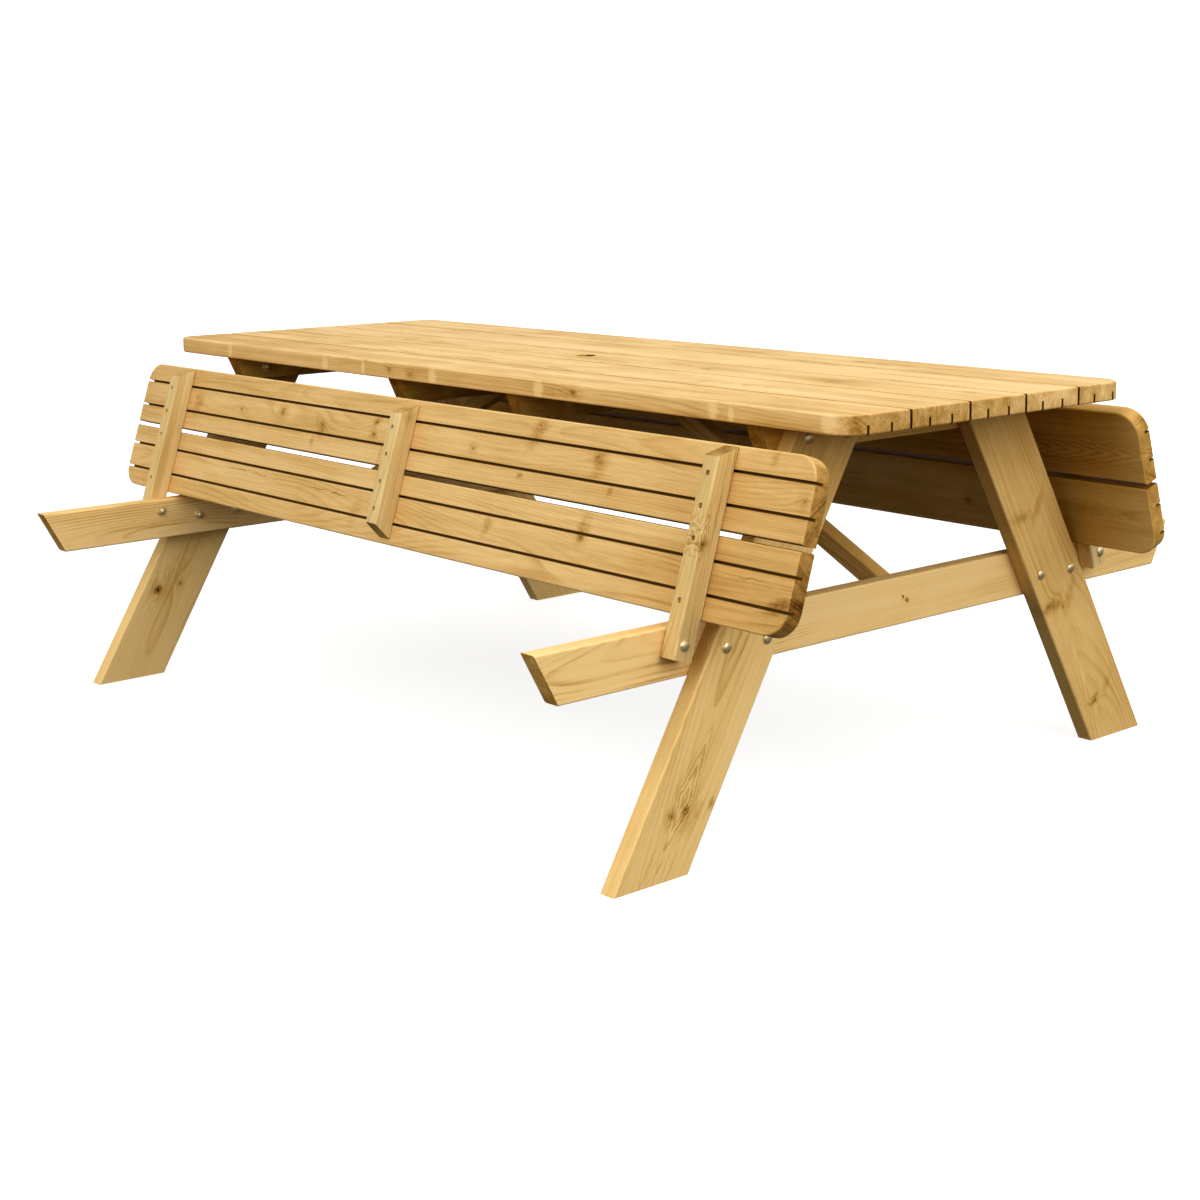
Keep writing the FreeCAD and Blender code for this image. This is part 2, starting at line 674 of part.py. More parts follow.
def screw_solid(length):
    """Countersunk screw along -X with the top of its head at x = 0."""
    radius = value("Sizes.screw_diameter") / 2
    head = value("Sizes.screw_head_diameter") / 2
    sink = value("Sizes.screw_head_height")
    point = 2 * radius
    cone = Part.makeCone(head, radius, sink, Vector(), INWARD)
    shank = Part.makeCylinder(radius, length - sink - point, Vector(-sink, 0, 0), INWARD)
    tip = Part.makeCone(radius, 0, point, Vector(point - length, 0, 0), INWARD)
    return cone.fuse([shank, tip]).removeSplitter()


def add_group(name, solids):
    """Node of separate like solids, already in place."""
    group = document.addObject("Part::Feature", name)
    group.Label = name
    group.Shape = Part.Compound(solids)
    group.Placement = Placement()
    finished.append(group)


def placed(solid, place, turn=None):
    copy = solid.copy()
    copy.Placement = Placement(place, turn or Rotation())
    return copy


def make_leg_bolts():
    """Bolts through legs and beams, and through legs and end battens."""
    grip_beam = value("Sizes.leg_thickness + Sizes.beam_thickness")
    grip_batten = value("Sizes.leg_thickness + Sizes.batten_thickness")
    face = value(LEG_FACE)
    washer = value("Sizes.washer_thickness")
    bolts = {"beam": [], "batten": []}
    washers = []
    nuts = []
    for kind, height, grip in (
        ("beam", BEAM_MIDDLE, grip_beam),
        ("batten", BATTEN_MIDDLE, grip_batten),
    ):
        bolt = bolt_solid(grip)
        for across, along in leg_bolt_places(height):
            for side, turn in ((1, Rotation()), (-1, HALF_TURN)):
                head = Vector(side * face, value(across), value(along))
                back = head - Vector(side * grip, 0, 0)
                bolts[kind].append(placed(bolt, head, turn))
                washers.append(placed(washer_solid(), back, turn))
                nuts.append(placed(nut_solid(), back - Vector(side * washer, 0, 0), turn))
    add_group("beam_bolts", bolts["beam"])
    add_group("batten_bolts", bolts["batten"])
    add_group("bolt_washers", washers)
    add_group("bolt_nuts", nuts)


def make_pivot_bolts(row, sign):
    """The two bolts that a seat turns on, with their washers and lock nuts."""
    side_y = -1 if sign else 1
    grip = value(f"{CLEAT_INNER} + Sizes.cleat_thickness - {BEAM_INNER} + Sizes.seat_rest_gap")
    face = value(f"{CLEAT_INNER} + Sizes.cleat_thickness")
    washer = value("Sizes.washer_thickness")
    tilt = Rotation(ALONG, value(seat_turn(sign)))
    bolts = []
    washers = []
    nuts = []
    for side, turn in ((1, Rotation()), (-1, HALF_TURN)):
        head = Vector(side * face, side_y * value(PIVOT_SPREAD), value(PIVOT_HEIGHT))
        back = head - Vector(side * grip, 0, 0)
        bolts.append(placed(bolt_solid(grip), head, tilt.multiply(turn)))
        washers.append(placed(washer_solid(), back, turn))
        nuts.append(placed(nut_solid(), back - Vector(side * washer, 0, 0), turn))
    add_group(f"seat_{row}_pivot_bolts", bolts)
    add_group(f"seat_{row}_pivot_washers", washers)
    add_group(f"seat_{row}_pivot_nuts", nuts)


def make_seat_screws(row, sign):
    """Screws from the cleats into the boards of one seat."""
    side_y = -1 if sign else 1
    recess = value("Sizes.cleat_recess_depth")
    length = value(f"Sizes.cleat_depth + {BOARD_BITE}") - recess
    start = value(CLEAT_FACE) + recess
    pivot = Vector(0, side_y * value(PIVOT_SPREAD), value(PIVOT_HEIGHT))
    folded = Rotation(ALONG, value(seat_turn(sign)))
    end_middle = value(f"{CLEAT_INNER} + Sizes.cleat_thickness / 2")
    rows = [(0, middle_screws()), (-end_middle, end_screws()), (end_middle, end_screws())]
    screws = []
    for place_x, distances in rows:
        for distance in distances:
            across = side_y * value(f"{SEAT_EDGE} + {distance}")
            place = pivot + folded.multVec(Vector(place_x, across, start))
            screws.append(placed(screw_solid(length), place, folded.multiply(QUARTER_UP)))
    add_group(f"seat_{row}_screws", screws)


def make_tabletop_screws():
    """Screws up through the battens into every tabletop board."""
    recess = value("Sizes.batten_recess_depth")
    length = value(f"Sizes.batten_depth + {BOARD_BITE}") - recess
    height = value(BATTEN_BOTTOM) + recess
    end_place = value(f"{BEAM_FACE} - Sizes.batten_thickness / 2")
    middle_place = value("Sizes.middle_batten_place")
    screws = []
    for place_x in (-end_place, -middle_place, middle_place, end_place):
        for across in top_screw_places():
            place = Vector(place_x, value(across), height)
            screws.append(placed(screw_solid(length), place, QUARTER_UP))
    add_group("tabletop_screws", screws)


def make_brace_screws():
    """One screw into each end of each brace: slanted below, level above."""
    bite = value("Sizes.brace_screw_bite")
    slant = math.radians(value(BRACE_ANGLE))
    recess = value("Sizes.brace_recess_depth")
    through_beam = (value("Sizes.beam_thickness") - recess) / math.cos(slant)
    low_screw = screw_solid(through_beam + bite)
    high_screw = screw_solid(value("Sizes.batten_thickness") + bite)
    beside = value("Sizes.brace_screw_offset")
    low_place = value(BEAM_FACE) - recess
    low_height = value(BRACE_SCREW_HEIGHT) + recess * math.tan(slant)
    high_place = value(MIDDLE_BATTEN_INNER)
    high_height = value(BRACE_TOP_SCREW_HEIGHT)
    rising = Rotation(ACROSS, value(BRACE_ANGLE))
    screws = []
    for side, facing, away in ((1, Rotation(), HALF_TURN), (-1, HALF_TURN, Rotation())):
        low = Vector(side * low_place, beside, low_height)
        high = Vector(side * high_place, 0, high_height)
        screws.append(placed(low_screw, low, facing.multiply(rising)))
        screws.append(placed(high_screw, high, away))
    add_group("brace_screws", screws)


make_tabletop_boards()
make_battens()
make_legs()
make_cross_beams()
make_braces()
make_leg_bolts()
make_tabletop_screws()
make_brace_screws()
for seat_row, seat_sign in (("front", "-"), ("back", "")):
    make_seat(seat_row, seat_sign)
    make_seat_screws(seat_row, seat_sign)
    make_pivot_bolts(seat_row, seat_sign)

document.recompute()
for item in document.Objects:
    if "Invalid" in item.State or "Error" in item.State:
        raise ValueError(f"{item.Name} did not recompute: {item.State}")
for item in finished:
    if item.Shape.isNull() or not item.Shape.isValid():
        raise ValueError(f"{item.Name} has no valid shape")

os.makedirs("parts", exist_ok=True)
for item in finished:
    item.Shape.exportStep(f"parts/{item.Label}.step")
print(len(finished), "sub-parts written")
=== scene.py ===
"""Convertible picnic table bench: timber, fittings and studio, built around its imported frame."""

import json
import math
import random
from collections import namedtuple

import bmesh
import bpy
import numpy as np
from bpy.props import FloatProperty, FloatVectorProperty, PointerProperty
from mathutils import Matrix, Vector

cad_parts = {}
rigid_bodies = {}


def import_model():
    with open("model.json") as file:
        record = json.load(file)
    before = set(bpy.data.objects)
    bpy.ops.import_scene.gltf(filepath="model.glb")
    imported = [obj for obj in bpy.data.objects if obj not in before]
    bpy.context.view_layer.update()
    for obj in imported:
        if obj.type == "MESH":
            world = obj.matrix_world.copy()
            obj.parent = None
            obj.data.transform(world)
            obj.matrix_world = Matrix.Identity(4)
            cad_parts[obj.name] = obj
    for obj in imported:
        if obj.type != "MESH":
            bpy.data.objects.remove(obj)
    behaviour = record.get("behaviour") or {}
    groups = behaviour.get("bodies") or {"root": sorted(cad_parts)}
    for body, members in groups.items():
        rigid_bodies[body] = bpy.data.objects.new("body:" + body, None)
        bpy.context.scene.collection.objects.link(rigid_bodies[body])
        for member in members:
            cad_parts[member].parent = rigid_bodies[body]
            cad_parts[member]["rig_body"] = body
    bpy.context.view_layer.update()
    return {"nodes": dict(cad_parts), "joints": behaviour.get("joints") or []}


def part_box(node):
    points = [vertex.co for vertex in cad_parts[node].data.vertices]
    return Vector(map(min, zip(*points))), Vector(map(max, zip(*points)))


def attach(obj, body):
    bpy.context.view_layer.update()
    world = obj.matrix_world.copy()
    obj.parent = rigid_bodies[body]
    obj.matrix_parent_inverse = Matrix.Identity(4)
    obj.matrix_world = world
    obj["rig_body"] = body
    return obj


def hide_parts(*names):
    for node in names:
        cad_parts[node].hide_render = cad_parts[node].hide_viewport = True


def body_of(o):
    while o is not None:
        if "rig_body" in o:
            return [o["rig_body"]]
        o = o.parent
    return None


bl_info = {
    "name": "Convertible picnic table bench",
    "version": (1, 0, 0),
    "blender": (4, 5, 0),
    "location": "3D View > Sidebar > Picnic table",
    "description": "Gives the picnic table its timber, its bolts and screws, and a studio",
    "category": "Object",
}

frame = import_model()
NODES = frame["nodes"]
TURNS = {joint["child"]: joint["range_deg"] for joint in frame["joints"]}
TOP_BOARDS = sum(node.startswith("tabletop_board") for node in NODES)

ALONG_TABLE = Vector((1, 0, 0))
ACROSS_TABLE = Vector((0, 1, 0))
UPRIGHT = Vector((0, 0, 1))
LENGTHWAYS = 0
UPWARDS = 2
AXES = 3
RIGHT_ANGLE = 90
MM_PER_METRE = 1000

# How close to a timber's end a point counts as on it, and how close two points count as one.
END_REACH = 0.0002
SAME_PLACE = 1e-6

# Sockets that share their name with others of the same node, so they go by number.
MIX_FACTOR, MIX_FIRST, MIX_SECOND, MIX_RESULT = 0, 6, 7, 2
RANDOM_LEAST, RANDOM_MOST, RANDOM_RESULT = 2, 3, 1


def colour_setting(name, description, default):
    """A colour that a user can change."""
    return FloatVectorProperty(name=name, description=description, subtype="COLOR", size=3, min=0, max=1,
                               default=default)


def length_setting(name, description, low, high, default):
    """A length that a user can change, in metres."""
    return FloatProperty(name=name, description=description, subtype="DISTANCE", unit="LENGTH",
                         min=low, max=high, default=default)


def strength_setting(name, description, default):
    """A strength of light that a user can change."""
    return FloatProperty(name=name, description=description, min=0, default=default)


def power_setting(name, description, default):
    """A lamp's power that a user can change, in watts."""
    return FloatProperty(name=name, description=description, subtype="POWER", unit="POWER", min=0,
                         default=default)


class Value:
    """A socket with Python's operators: each adds a Math node, and node() adds any other node."""

    def __init__(self, socket):
        self.socket = socket

    def node(self, kind, settings=None, values=None, out=0):
        """Adds a node. Its settings come first, then the values or links of its sockets."""
        tree = self.socket.id_data
        made = tree.nodes.new(kind)
        for name, setting in (settings or {}).items():
            if name == "stops":
                self.set_stops(made.color_ramp, setting)
            else:
                setattr(made, name, setting)
        for name, value in (values or {}).items():
            for part in value if isinstance(value, list) else [value]:
                if isinstance(part, Value):
                    tree.links.new(part.socket, made.inputs[name])
                else:
                    made.inputs[name].default_value = part
        return Value(made.outputs[out])

    @staticmethod
    def set_stops(ramp, stops):
        """A ramp's stops, as pairs of place and colour."""
        while len(ramp.elements) < len(stops):
            ramp.elements.new(1.0)
        for element, (place, colour) in zip(ramp.elements, stops):
            element.position = place
            element.color = (*colour, 1.0)

    def feed(self, shader, name):
        """Leads this value into a socket of a shader."""
        self.socket.id_data.links.new(self.socket, shader.inputs[name])

    def maths(self, operation, *others):
        """A Math node with this value in its first socket."""
        return self.node("ShaderNodeMath", {"operation": operation}, dict(enumerate((self, *others))))

    def __add__(self, other):
        return self.maths("ADD", other)

    def __sub__(self, other):
        return self.maths("SUBTRACT", other)

    def __rsub__(self, other):
        return (self * -1).maths("ADD", other)

    def __mul__(self, other):
        return self.maths("MULTIPLY", other)

    def __truediv__(self, other):
        return self.maths("DIVIDE", other)

    __radd__ = __add__
    __rmul__ = __mul__

    def step(self, low, high):
        """From 0 at low to 1 at high, with soft ends. High may be the lower number."""
        ends = (low, high, 0.0, 1.0) if low < high else (high, low, 1.0, 0.0)
        sockets = dict(enumerate((self, *ends)))
        return self.node("ShaderNodeMapRange", {"interpolation_type": "SMOOTHSTEP"}, sockets)

    def vector(self, operation, *others, out=0):
        """A Vector Math node with this value in its first socket."""
        sockets = dict(enumerate((self, *others)))
        return self.node("ShaderNodeVectorMath", {"operation": operation}, sockets, out)

    def length(self):
        """The length of a vector."""
        return self.vector("LENGTH", out="Value")

    def parts(self):
        """The three parts of a vector or a colour."""
        first = self.node("ShaderNodeSeparateXYZ", values={0: self})
        return [Value(output) for output in first.socket.node.outputs]

    def turned(self, middle=(0, 0, 0), turn=(0, 0, 0), scale=(1, 1, 1)):
        """A point as seen from a frame with that middle, turn and scale."""
        sockets = {"Vector": self, "Location": middle, "Rotation": turn, "Scale": scale}
        return self.node("ShaderNodeMapping", {"vector_type": "TEXTURE"}, sockets)

    def pattern(self, kind, offset, out=0):
        """A noise pattern at this point, moved by its own offset."""
        sockets = {"Vector": self, "Location": offset, "Scale": kind.per_metre}
        at = self.node("ShaderNodeMapping", {"vector_type": "POINT"}, sockets)
        sockets = {"Vector": at, "Scale": 1.0, "Detail": kind.detail, "Roughness": kind.roughness}
        return self.node("ShaderNodeTexNoise", values=sockets, out=out)

    def blend(self, rule, first, second, factor):
        """A colour made from two others by a Mix node's rule."""
        colours = {MIX_FACTOR: factor, MIX_FIRST: first, MIX_SECOND: second}
        return self.node("ShaderNodeMix", {"data_type": "RGBA", "blend_type": rule}, colours, MIX_RESULT)

    def mix(self, first, second):
        """The first colour where this value is 0, the second where it is 1."""
        return self.blend("MIX", first, second, self)

    def multiplied(self, tint, share=1.0):
        """This colour multiplied by another, or by a share of it."""
        return self.blend("MULTIPLY", self, (*tint, 1.0), share)

    def bump(self, strength, distance):
        """The slopes of a surface that this value raises."""
        sockets = {"Strength": strength, "Distance": distance, "Height": self}
        return self.node("ShaderNodeBump", values=sockets)


# A noise pattern: its features in a metre along each axis, how much finer detail it has and how rough.
Pattern = namedtuple("Pattern", "per_metre detail roughness", defaults=(0.5,))


def new_material(name):
    """A new material, its shader and its texture coordinates."""
    material = bpy.data.materials.new(name)
    material.use_nodes = True
    nodes = material.node_tree.nodes
    return material, nodes["Principled BSDF"], nodes.new("ShaderNodeTexCoord").outputs


def vertex_array(node):
    """A CAD node's points, one row each."""
    mesh = NODES[node].data
    points = np.empty(len(mesh.vertices) * AXES, np.float32)
    mesh.vertices.foreach_get("co", points)
    return points.reshape(-1, AXES).astype(float)


def run_of(node, axis):
    """Direction from the middle of a timber's low end to the middle of its high end, along an axis."""
    points = vertex_array(node)
    heights = points[:, axis]
    ends = [points[np.abs(heights - end) < END_REACH] for end in (heights.min(), heights.max())]
    low, high = [(end.min(0) + end.max(0)) / 2 for end in ends]
    return Vector(high - low).normalized()


class Timber:
    """A board's own frame: along its grain, across its face and through its thickness."""

    def __init__(self, node, along, across):
        self.turn = Matrix((along, across, along.cross(across))).transposed()
        own = vertex_array(node) @ np.array(self.turn)
        low, high = own.min(0), own.max(0)
        _, self.half_width, self.half_thickness = [float(size) for size in (high - low) / 2]
        self.middle = self.turn @ Vector((low + high) / 2)


def seat_rise(body):
    """Direction up a folded seat, which leans towards the tabletop."""
    low, high = TURNS[body]
    lean = math.radians(high - low - RIGHT_ANGLE)
    inward = 1 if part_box(f"{body}_inner_board")[0].y < 0 else -1
    return Vector((0, inward * math.sin(lean), math.cos(lean)))


def timber_of(node):
    """The frame of a timber, found from its name."""
    body = "_".join(node.split("_")[:2])
    if node.startswith("seat") and node.endswith("board"):
        return Timber(node, ALONG_TABLE, seat_rise(body))
    if node.endswith("cleat"):
        return Timber(node, seat_rise(body), ALONG_TABLE.cross(seat_rise(body)))
    if node.startswith("tabletop"):
        return Timber(node, ALONG_TABLE, ACROSS_TABLE)
    if "batten" in node or "beam" in node:
        return Timber(node, ACROSS_TABLE, UPRIGHT)
    if node.startswith("leg"):
        rise = run_of(node, UPWARDS)
        return Timber(node, rise, ALONG_TABLE.cross(rise))
    run = run_of(node, LENGTHWAYS)
    return Timber(node, run, run.cross(ACROSS_TABLE))


# How a board was sawn: where the middle of the tree lies in it (across and through),
# how far it drifts along the board, and how dark the board is.
Sawn = namedtuple("Sawn", "across through drift tone")

# A mark in the wood: its kind, its place along and across the board's upper face, its radius,
# how many times longer than wide it is, how strong, and how many degrees it leans.
# On an edge, across counts up the edge instead. Places are in millimetres.
Mark = namedtuple("Mark", "kind along across radius stretch dark lean face", defaults=(0, "wide"))

SAWN = {
    "tabletop_board_1": Sawn(30, -95, 0.030, 0.15),
    "tabletop_board_2": Sawn(-42, -120, 0.020, 0.07),
    "tabletop_board_3": Sawn(10, -70, 0.035, 0.11),
    "tabletop_board_4": Sawn(55, -110, -0.025, 0.06),
    "tabletop_board_5": Sawn(-20, -90, 0.030, 0.10),
    "seat_front_outer_board": Sawn(25, -75, 0.020, 0.20),
    "seat_front_inner_board": Sawn(-38, -88, -0.030, 0.19),
    "seat_back_outer_board": Sawn(-15, 70, 0.035, 0.22),
    "seat_back_inner_board": Sawn(35, 95, -0.028, 0.14),
    "leg_front_left": Sawn(10, -150, 0.030, 0.02),
    "leg_front_right": Sawn(20, -160, 0.012, 0.02),
    "leg_back_left": Sawn(-12, -150, 0.030, 0.06),
    "leg_back_right": Sawn(0, -170, -0.030, 0.17),
    "cross_beam_left": Sawn(-12, -62, 0.030, -0.08),
    "cross_beam_right": Sawn(60, -54, 0.070, -0.02),
    "seat_front_right_cleat": Sawn(-30, -26, 0.030, 0.26),
    "seat_front_middle_cleat": Sawn(-45, -12, 0.020, 0.12),
    "seat_front_left_cleat": Sawn(-50, 18, 0.020, 0.12),
}

# Marks of the kind shade are painted shade: on the ends of boards, the tops of legs and an edge of a leg;
# one with a negative strength is painted light instead.
MARKS = {
    "tabletop_board_1": [
        Mark("pale", -820, 0, 17, 0.6, 0.3, 0, "low edge"),
        Mark("pale", -423, -2, 16, 0.7, 0.3, 0, "low edge"),
        Mark("pale", -278, 0, 16, 0.5, 0.3, 0, "low edge"),
        Mark("pale", -34, -3, 18, 0.8, 0.35, 0, "low edge"),
        Mark("pale", 301, 0, 18, 0.9, 0.35, 0, "low edge"),
        Mark("pale", 768, 0, 18, 0.7, 0.3, 0, "low edge"),
        Mark("pale", 811, -4, 15, 0.5, 0.25, 0, "low edge"),
        Mark("pale", 1030, 0, 18, 1.0, 0.3, 0, "low edge"),
        Mark("knot", -183, 2, 6, 1.5, 0.7, 0, "low edge"),
        Mark("knot", -109, -4, 5, 1.7, 0.7, 0, "low edge"),
        Mark("knot", 403, 0, 7, 1.5, 0.6, 0, "low edge"),
        Mark("smudge", 370, 0, 16, 4, 0.2, 0, "low edge"),
        Mark("smudge", -600, 30, 26, 6, 0.14),
        Mark("shade", -900, 0, 120, 3, 0.07),
        Mark("smudge", 350, -20, 22, 8, 0.12),
        Mark("smudge", 880, 20, 22, 7, 0.12),
        Mark("shade", 1000, 0, 120, 3, 0.09),
    ],
    "tabletop_board_2": [
        Mark("shade", -900, 0, 120, 3, 0.07),
        Mark("smudge", -300, 10, 24, 8, 0.13),
        Mark("smudge", 520, -25, 20, 9, 0.13),
        Mark("smudge", 905, 18, 22, 5, 0.12),
        Mark("shade", 1000, 0, 120, 3, 0.08),
    ],
    "tabletop_board_3": [
        Mark("knot", 385, -18, 9, 1.5, 0.5),
        Mark("knot", 716, -22, 10, 1.6, 0.5),
        Mark("smudge", 700, 10, 34, 3, 0.16, 20),
        Mark("knot", 994, 25, 8, 1.4, 0.4),
        Mark("streak", -220, 60, 3, 9, 0.5),
        Mark("smudge", 30, -40, 26, 6, 0.14),
    ],
    "tabletop_board_4": [
        Mark("streak", 776, -66, 4, 14, 0.5),
        Mark("streak", 914, -68, 3, 18, 0.5),
        Mark("pale", -198, -66, 12, 1.6, 0.2),
        Mark("smudge", 560, 20, 20, 12, 0.15),
    ],
    "tabletop_board_5": [
        Mark("streak", 8, -25, 5, 9, 0.7),
        Mark("smudge", 620, 0, 26, 9, 0.15),
        Mark("smudge", -420, 10, 26, 6, 0.13),
    ],
    "leg_front_left": [
        Mark("shade", 330, 0, 110, 1.3, 0.24),
        Mark("knot", -210, 35, 9, 1.2, 0.9),
        Mark("flame", -205, 33, 30, 3.2, 0.5),
        Mark("knot", -174, -9, 4, 1.3, 0.7),
        Mark("smudge", -160, 10, 30, 2.5, 0.2),
    ],
    "leg_front_right": [
        Mark("flame", -266, 3, 29, 5.2, 1.1),
        Mark("shade", 330, 0, 110, 1.3, 0.22),
        Mark("shade", -100, 0, 60, 12, 0.12, 0, "high edge"),
        Mark("shade", -400, -10, 70, 1.6, -0.03),
        Mark("knot", -303, 16, 5.5, 1.3, 0.8),
        Mark("knot", -283, -9, 4.5, 1.9, 1.0),
        Mark("smudge", -290, -30, 22, 2.4, 0.3, -25),
        Mark("smudge", -255, -60, 8, 1.6, 0.7),
        Mark("streak", 2, 22, 5, 9, 0.5),
        Mark("streak", 8, 4, 3, 14, 0.4),
        Mark("streak", 0, 60, 6, 8, 0.4),
        Mark("streak", -395, 23, 1.6, 34, 0.5),
        Mark("streak", -388, 11, 1.4, 36, 0.45),
        Mark("streak", -395, 1, 1.6, 36, 0.5),
        Mark("streak", -385, -12, 1.4, 36, 0.45),
        Mark("streak", -380, -25, 1.6, 32, 0.5),
        Mark("pale", -140, -45, 14, 14, 0.10),
    ],
    "leg_back_right": [
        Mark("shade", 360, 0, 110, 1.2, 0.05),
        Mark("knot", -42, 50, 8, 2.0, 0.5, 90),
        Mark("knot", -69, 14, 3, 1.5, 0.8),
        Mark("smudge", -60, -15, 13, 3.4, 0.3, -48),
        Mark("smudge", -52, 36, 16, 2.4, 0.3, 70),
        Mark("smudge", 165, 36, 15, 2.6, 0.34, 65),
        Mark("smudge", 152, -12, 12, 3.6, 0.34, -55),
        Mark("knot", -307, 25, 4, 1.8, 0.8, 90),
        Mark("smudge", -300, 22, 10, 2.4, 0.3, 90),
        Mark("smudge", -302, -24, 13, 2.6, 0.24, -60),
    ],
    "cross_beam_right": [
        Mark("knot", 22, -1, 3, 2, 0.6),
        Mark("smudge", -560, -8, 30, 2.6, 0.14),
        Mark("streak", -610, -38, 5, 14, 0.4),
        Mark("smudge", 70, 12, 20, 8, 0.12),
    ],
    "cross_beam_left": [
        Mark("smudge", -520, -5, 24, 6, 0.2),
        Mark("streak", -610, -12, 4, 30, 0.3),
    ],
    "seat_front_outer_board": [
        Mark("shade", 1000, 0, 90, 3.0, 0.05),
        Mark("knot", -464, 4, 8, 1.2, 0.8),
        Mark("knot", -630, -4, 5, 1.2, 0.6),
        Mark("smudge", -820, -6, 22, 1.5, 0.3, 60),
        Mark("knot", -828, 4, 5, 1.2, 0.4),
        Mark("knot", -302, -9, 4.5, 2.2, 0.8, -35),
        Mark("smudge", -310, -20, 16, 1.6, 0.25, -40),
        Mark("knot", -114, 15, 5, 1.8, 0.9, 35),
        Mark("knot", -116, -12, 5.5, 1.2, 0.8),
        Mark("smudge", -330, -46, 9, 1.8, 0.35, 80),
        Mark("smudge", -80, -48, 10, 2, 0.25, 80),
        Mark("knot", 211, -5, 5, 1.2, 0.7),
        Mark("smudge", 390, 40, 17, 2.4, 0.4, 55),
        Mark("knot", 392, 55, 6, 1.5, 0.6),
        Mark("knot", 563, 15, 8, 1.3, 0.6),
        Mark("smudge", 575, 0, 20, 1.8, 0.3, 60),
        Mark("streak", 365, -41, 7, 1.6, 0.6),
        Mark("smudge", 612, -40, 9, 1.8, 0.3, 70),
        Mark("smudge", 981, 60, 10, 2, 0.25, 70),
        Mark("knot", 1060, -4, 6, 1.2, 0.7),
    ],
    "seat_front_inner_board": [
        Mark("knot", 563, 22, 8, 1.1, 0.6),
        Mark("smudge", 568, 38, 18, 1.6, 0.35, 75),
        Mark("smudge", 300, 8, 15, 2, 0.25, 75),
        Mark("crack", -262, 9, 0.9, 42, 0.9, 1),
        Mark("crack", -190, 7, 0.9, 40, 0.9, -1),
        Mark("crack", -590, 14, 0.9, 60, 0.9, 1),
        Mark("crack", -500, 12, 0.9, 45, 0.9, -1),
        Mark("shade", 1000, 0, 90, 3.2, 0.17),
        Mark("crack", 982, 11, 0.8, 45, 0.7),
        Mark("smudge", 1056, -20, 14, 2.5, 0.5, 20),
        Mark("knot", 311, 11, 4, 1.3, 0.4),
        Mark("smudge", -120, -20, 20, 2, 0.2, 75),
    ],
    "seat_back_outer_board": [
        Mark("arrows", 930, -15, 34, 5.0, 0.8),
        Mark("smudge", 700, 10, 30, 5, 0.25),
    ],
    "seat_back_inner_board": [
        Mark("smudge", 930, 10, 26, 6, 0.25),
        Mark("knot", 640, -8, 6, 1.4, 0.5),
    ],
    "seat_front_right_cleat": [
        Mark("knot", 11, 14, 5, 1.3, 1.0),
        Mark("flame", 22, 14, 15, 4.4, 1.1),
        Mark("streak", 60, -4, 3, 18, 0.4),
    ],
    "seat_front_middle_cleat": [Mark("smudge", 110, 0, 16, 1.6, 0.3)],
}

# The face that marks lie on, in millimetres above a board's middle, how deep a mark on an edge goes,
# and a reach that takes a mark through any board.
MARK_FACE = 17
EDGE_DEPTH = 0.011
THROUGH_ALL = 1000

# The middle of a noise pattern, which runs from 0 to 1.
MIDDLE = 0.5

# In what follows, a pair named for its ends holds where a soft step starts and where it is full.
# A mark's ends are shares of its reach.

# Arched lines where the saw ran along the rings, and straight ones that point one way.
FLAME_TIP = 0.012
FLAME_WOBBLE = 0.10
FLAME_LINES = 4.0
FLAME_DEPTH = 0.3
FLAME_ENDS = (1.25, 0.6)
ARROW_ENDS = (1.25, 0.5)
ARROW_PITCH = 1.1
LINE_RISE_ENDS = (0.35, 0.8)
LINE_FALL_ENDS = (1.0, 0.86)

# Soft patches and lines, with the ends of each and its strength.
Soft = namedtuple("Soft", "ends strength")

SOFT_MARKS = {
    "pale": Soft((1.3, 0.4), -1),
    "shade": Soft((1.3, 0.5), 1),
    "smudge": Soft((1.3, 0.0), 1),
    "streak": Soft((1.3, 0.2), 0.55),
    "crack": Soft((1.0, 0.7), 0.55),
}
SMUDGE_CLOUD = 1.6
SMUDGE_LOSS = 0.1

# A knot: its ragged outline, its dark core and rim, the halo round it, and how the rings bend by it.
KNOT_RAGGED = 0.6
KNOT_ENDS = (1.12, 0.9)
KNOT_DEPTH = 0.24
KNOT_DARKER = 0.18
CORE_ENDS = (0.65, 0.2)
CORE_DEPTH = 0.5
RIM_ENDS = (0.62, 0.92)
RIM_DEPTH = 0.26
HALO_ENDS = (3.6, 0.7)
HALO_CLOUD = 0.24
HALO_LEAST = 0.05
BEND_LENGTH = 7
BEND_WIDTH = 2.2
BEND_FADE = 1.4
BEND_RINGS = 2.2


def mark_turn(mark, sawn):
    """How far a knot's own direction is turned from the thickness: it points out from the pith."""
    return math.atan2(-(mark.across - sawn.across), MARK_FACE - sawn.through)


def mark_space(mark, sawn, timber, at, growth=(1, 1)):
    """A point in a mark's own frame, where the mark reaches from its middle to 1."""
    radius = mark.radius / MM_PER_METRE
    long, wide = radius * mark.stretch * growth[0], radius * growth[1]
    if mark.face != "wide":
        side = 1 if mark.face == "high edge" else -1
        middle = (mark.along / MM_PER_METRE, side * timber.half_width, mark.across / MM_PER_METRE)
        return at.turned(middle, scale=(long, EDGE_DEPTH, wide))
    middle = Vector((mark.along, mark.across, MARK_FACE)) / MM_PER_METRE
    if mark.kind == "knot" and not mark.lean:
        turn = (mark_turn(mark, sawn), 0, 0)
    else:
        turn = (0, 0, math.radians(mark.lean))
    return at.turned(middle, turn, (long, wide, THROUGH_ALL))


